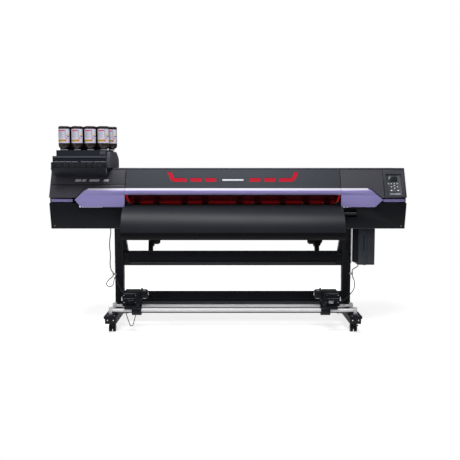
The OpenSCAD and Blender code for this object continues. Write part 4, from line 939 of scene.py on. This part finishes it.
def dress_take_up():
    for side, sign, axis in (("left", 1, "X"), ("right", -1, "-X")):
        body, core = f"take_up_{side}", f"take_up_core_{side}"

        def at(x):
            return x if sign > 0 else TAKE_UP_MID - x

        def span(x0, y0, x1, y1):
            a, b = sorted((at(x0), at(x1)))
            return rect(a, y0, b, y1)

        def band(name, mat, spans, thick, bevel=0.0):
            plates(f"{side}_unit_{name}", mat, body, spans, TAKE_UP_FRONT - thick, TAKE_UP_FRONT,
                   along_y, bevel)

        band("top_band", "unit_light", [span(-808, 296, -702, 303)], 0.6, 0.25)
        band("grooves", "groove_black", [span(-812, 268, -706, 275), span(-812, 214, -706, 219)], 0.3)
        band("rib", "unit_light", [span(-810, 259, -706, 264)], 1.2, 0.4)
        a, b = sorted((at(-827.5), at(-819.2)))
        blocks(f"{side}_unit_latch", "bezel_silver", body, [((a, -316, 241), (b, -300, 273))], 2.0)
        bolts = [(at(x), TAKE_UP_FRONT, z) for x in (-806, -716) for z in (230, 286)]
        turned(f"{side}_unit_screws", "screw_steel", body, screw(3.6, 1.4, 2.8, 2.0, 1.5, 0.8),
               bolts, "-Y", 16)
        dots = [(at(-768 + 16 * k), TAKE_UP_FRONT, 246) for k in range(3)]
        turned(f"{side}_unit_buttons", "knob_grey", body, button(4.6, 1.6, 3.6, 2.4), dots, "-Y", 20)
        turned(f"{side}_core_hub", "bezel_silver", core, button(12, 3, 9, 5),
               [(at(-639.5) + 10 * sign, *CORE_AXIS)], axis, 28)
        bm = bmesh.new()
        middle = (min(at(-668), at(-644)) + 12, *CORE_AXIS)
        for k in range(3):
            turn = Matrix.Rotation(math.radians(120 * k + 30), 4, "X")
            pad = Matrix.Translation((0, 0, 36.4)) @ Matrix.Diagonal((24, 7, 4, 1))
            bmesh.ops.create_cube(bm, size=1, matrix=Matrix.Translation(middle) @ turn @ pad)
        finish_mesh(f"{side}_core_pads", bm, "bezel_silver", core, 0.8)
    plates("right_unit_sockets", "bezel_silver", "take_up_right", [rounded(34, 18, 3, 800, 232)],
           TAKE_UP_FRONT - 1.2, TAKE_UP_FRONT, along_y, 0.3)
    turned("right_unit_socket_holes", "seam_dark", "take_up_right", button(5.2, 0.5, 4.6, 0.7),
           [(x, TAKE_UP_FRONT - 1.1, 232) for x in (792, 808)], "-Y", 20)


def dress_tank():
    front = -100.0
    plates("tank_front_panel", "tank_panel", "root", [rounded(64, 262, 6, 1078, 640)],
           front - 0.6, front, along_y, 0.3)
    plates("tank_right_panel", "lip_grey", "root", [rounded(50, 262, 6, 1144, 640)],
           front - 0.5, front, along_y, 0.25)
    plates("tank_level_window", "seam_dark", "root", [rounded(7, 128, 3.4, 1090, 668)],
           front - 0.9, front - 0.5, along_y)
    blocks("tank_holder", "stand_black", "root", [((1008, -92, 512), (1041.4, -24, 787)),
                                                  ((1012, -95, 560), (1038, -90, 730))], 3.0)
    turned("tank_drain", "arm_black", "root",
           [(22, -0.2), (22, -7), (18, -10), (6, -10), (6, -13), (0, -13)], [(1110, -25, 493)])


def dress_casters():
    wheel_z, trail = 30, 20           # height of the axle, and how far it trails behind the swivel
    for end, y in (("front", -335), ("rear", 335)):
        for side, x in (("left", BAY_X - LEG_X - 12), ("right", BAY_X + LEG_X + 12)):
            wheels, fork = BODY_OF[f"caster_wheels_{end}_{side}"], BODY_OF[f"caster_fork_{end}_{side}"]
            bm = bmesh.new()
            for sign, axis in ((-1, "-X"), (1, "X")):
                add_lathe(bm, [(23, 0), (22, 0.9), (9, 0.9), (8, 1.6), (4, 2.2), (0, 2.2)],
                          (x + sign * 25, y + trail, wheel_z), axis, 32)
            finish_mesh(f"{end}_{side}_wheel_caps", bm, "lip_grey", wheels)
            bm = bmesh.new()
            arch = []
            for r, angles in ((33.5, range(20, 131, 10)), (31.2, range(130, 19, -10))):
                arch += [(y + trail + r * math.cos(math.radians(a)),
                          wheel_z + r * math.sin(math.radians(a))) for a in angles]
            add_prism(bm, arch, x - 24, x + 24, along_x)
            finish_mesh(f"{end}_{side}_wheel_guard", bm, "caster_black", fork, 0.6)
            blocks(f"{end}_{side}_pedal", "lip_grey", fork,
                   [((x + 8, y - 36, 55), (x + 29, y - 22, 60.6))], 1.6)


def dress_machinery():
    # carriage: two light rims, screws, and the cutter's window and knob
    front = -128.0
    plates("carriage_rim", "pale_line_and_highlight", "carriage",
           [rect(982, 1000, 1194, 1004), rect(982, 1086, 1194, 1089)], front - 0.5, front, along_y)
    turned("carriage_screws", "screw_steel", "carriage", button(4, 1.2, 3, 2),
           [(x, front, z) for x in (994, 1182) for z in (1014, 1074)], "-Y", 16)
    plates("cutter_window", "seam_dark", "carriage", [rounded(40, 70, 5, 938, 1082)],
           -110.5, -110, along_y)
    turned("cutter_knob", "knob_grey", "cutter_tool", button(12, 10, 10, 12),
           [(938, -80, 1115)], "Z", 40, 0.8)
    # clamp lever: a ribbed grip
    grips = [rect(930 + 9 * k, 906, 934 + 9 * k, 916) for k in range(7)]
    plates("lever_ribs", "lip_grey", "clamp_lever", grips, -208.8, -206.5, along_y, 0.4)
    plates("lever_highlight", "pale_line_and_highlight", "clamp_lever", [rect(918, 919.5, 1004, 921.5)],
           -205.5, -203.2, along_y)
    # mains inlet at the back
    plates("mains_socket", "seam_dark", "root", [rect(1194, 800, 1236, 830)], 369, 371, along_y, 0.5)
    blocks("mains_pins", "bezel_silver", "root",
           [((x - 1, 371, 812), (x + 1, 375, 818)) for x in (1205, 1215, 1225)], 0.3)
    for side, x, sign, axis in (("left", -666, -1, "X"), ("right", 764, 1, "-X")):
        body = "roll_holder_" + side
        turned(f"{side}_holder_knob", "knob_grey", body, button(13, 12, 11, 15),
               [(x, 270, 500)], "-Y", 36, 1.0)
        turned(f"{side}_holder_hub", "bezel_silver", body, button(14, 1.6, 11, 2.6),
               [(x - sign * 62.2, 330, 650)], axis, 28)


make_camera()
make_studio()
make_cable("cable_left", CABLE_LEFT, 0.007,
           bend=("root", "take_up_left", (-0.930, -0.074, 0.33), (-0.834, -0.19, 0.288)))
make_cable("cable_right", CABLE_RIGHT, 0.007,
           bend=("root", "take_up_right", (1.010, -0.070, 0.29), (0.885, -0.224, 0.214)))
make_cable("cable_low_left", CABLE_LOW, 0.006, body="take_up_left")
dress_nodes()
for dress in (dress_front_cover, dress_end_covers, dress_print_area, dress_bottles, dress_ink_unit,
              dress_panel, dress_stand, dress_take_up, dress_tank, dress_casters, dress_machinery):
    dress()
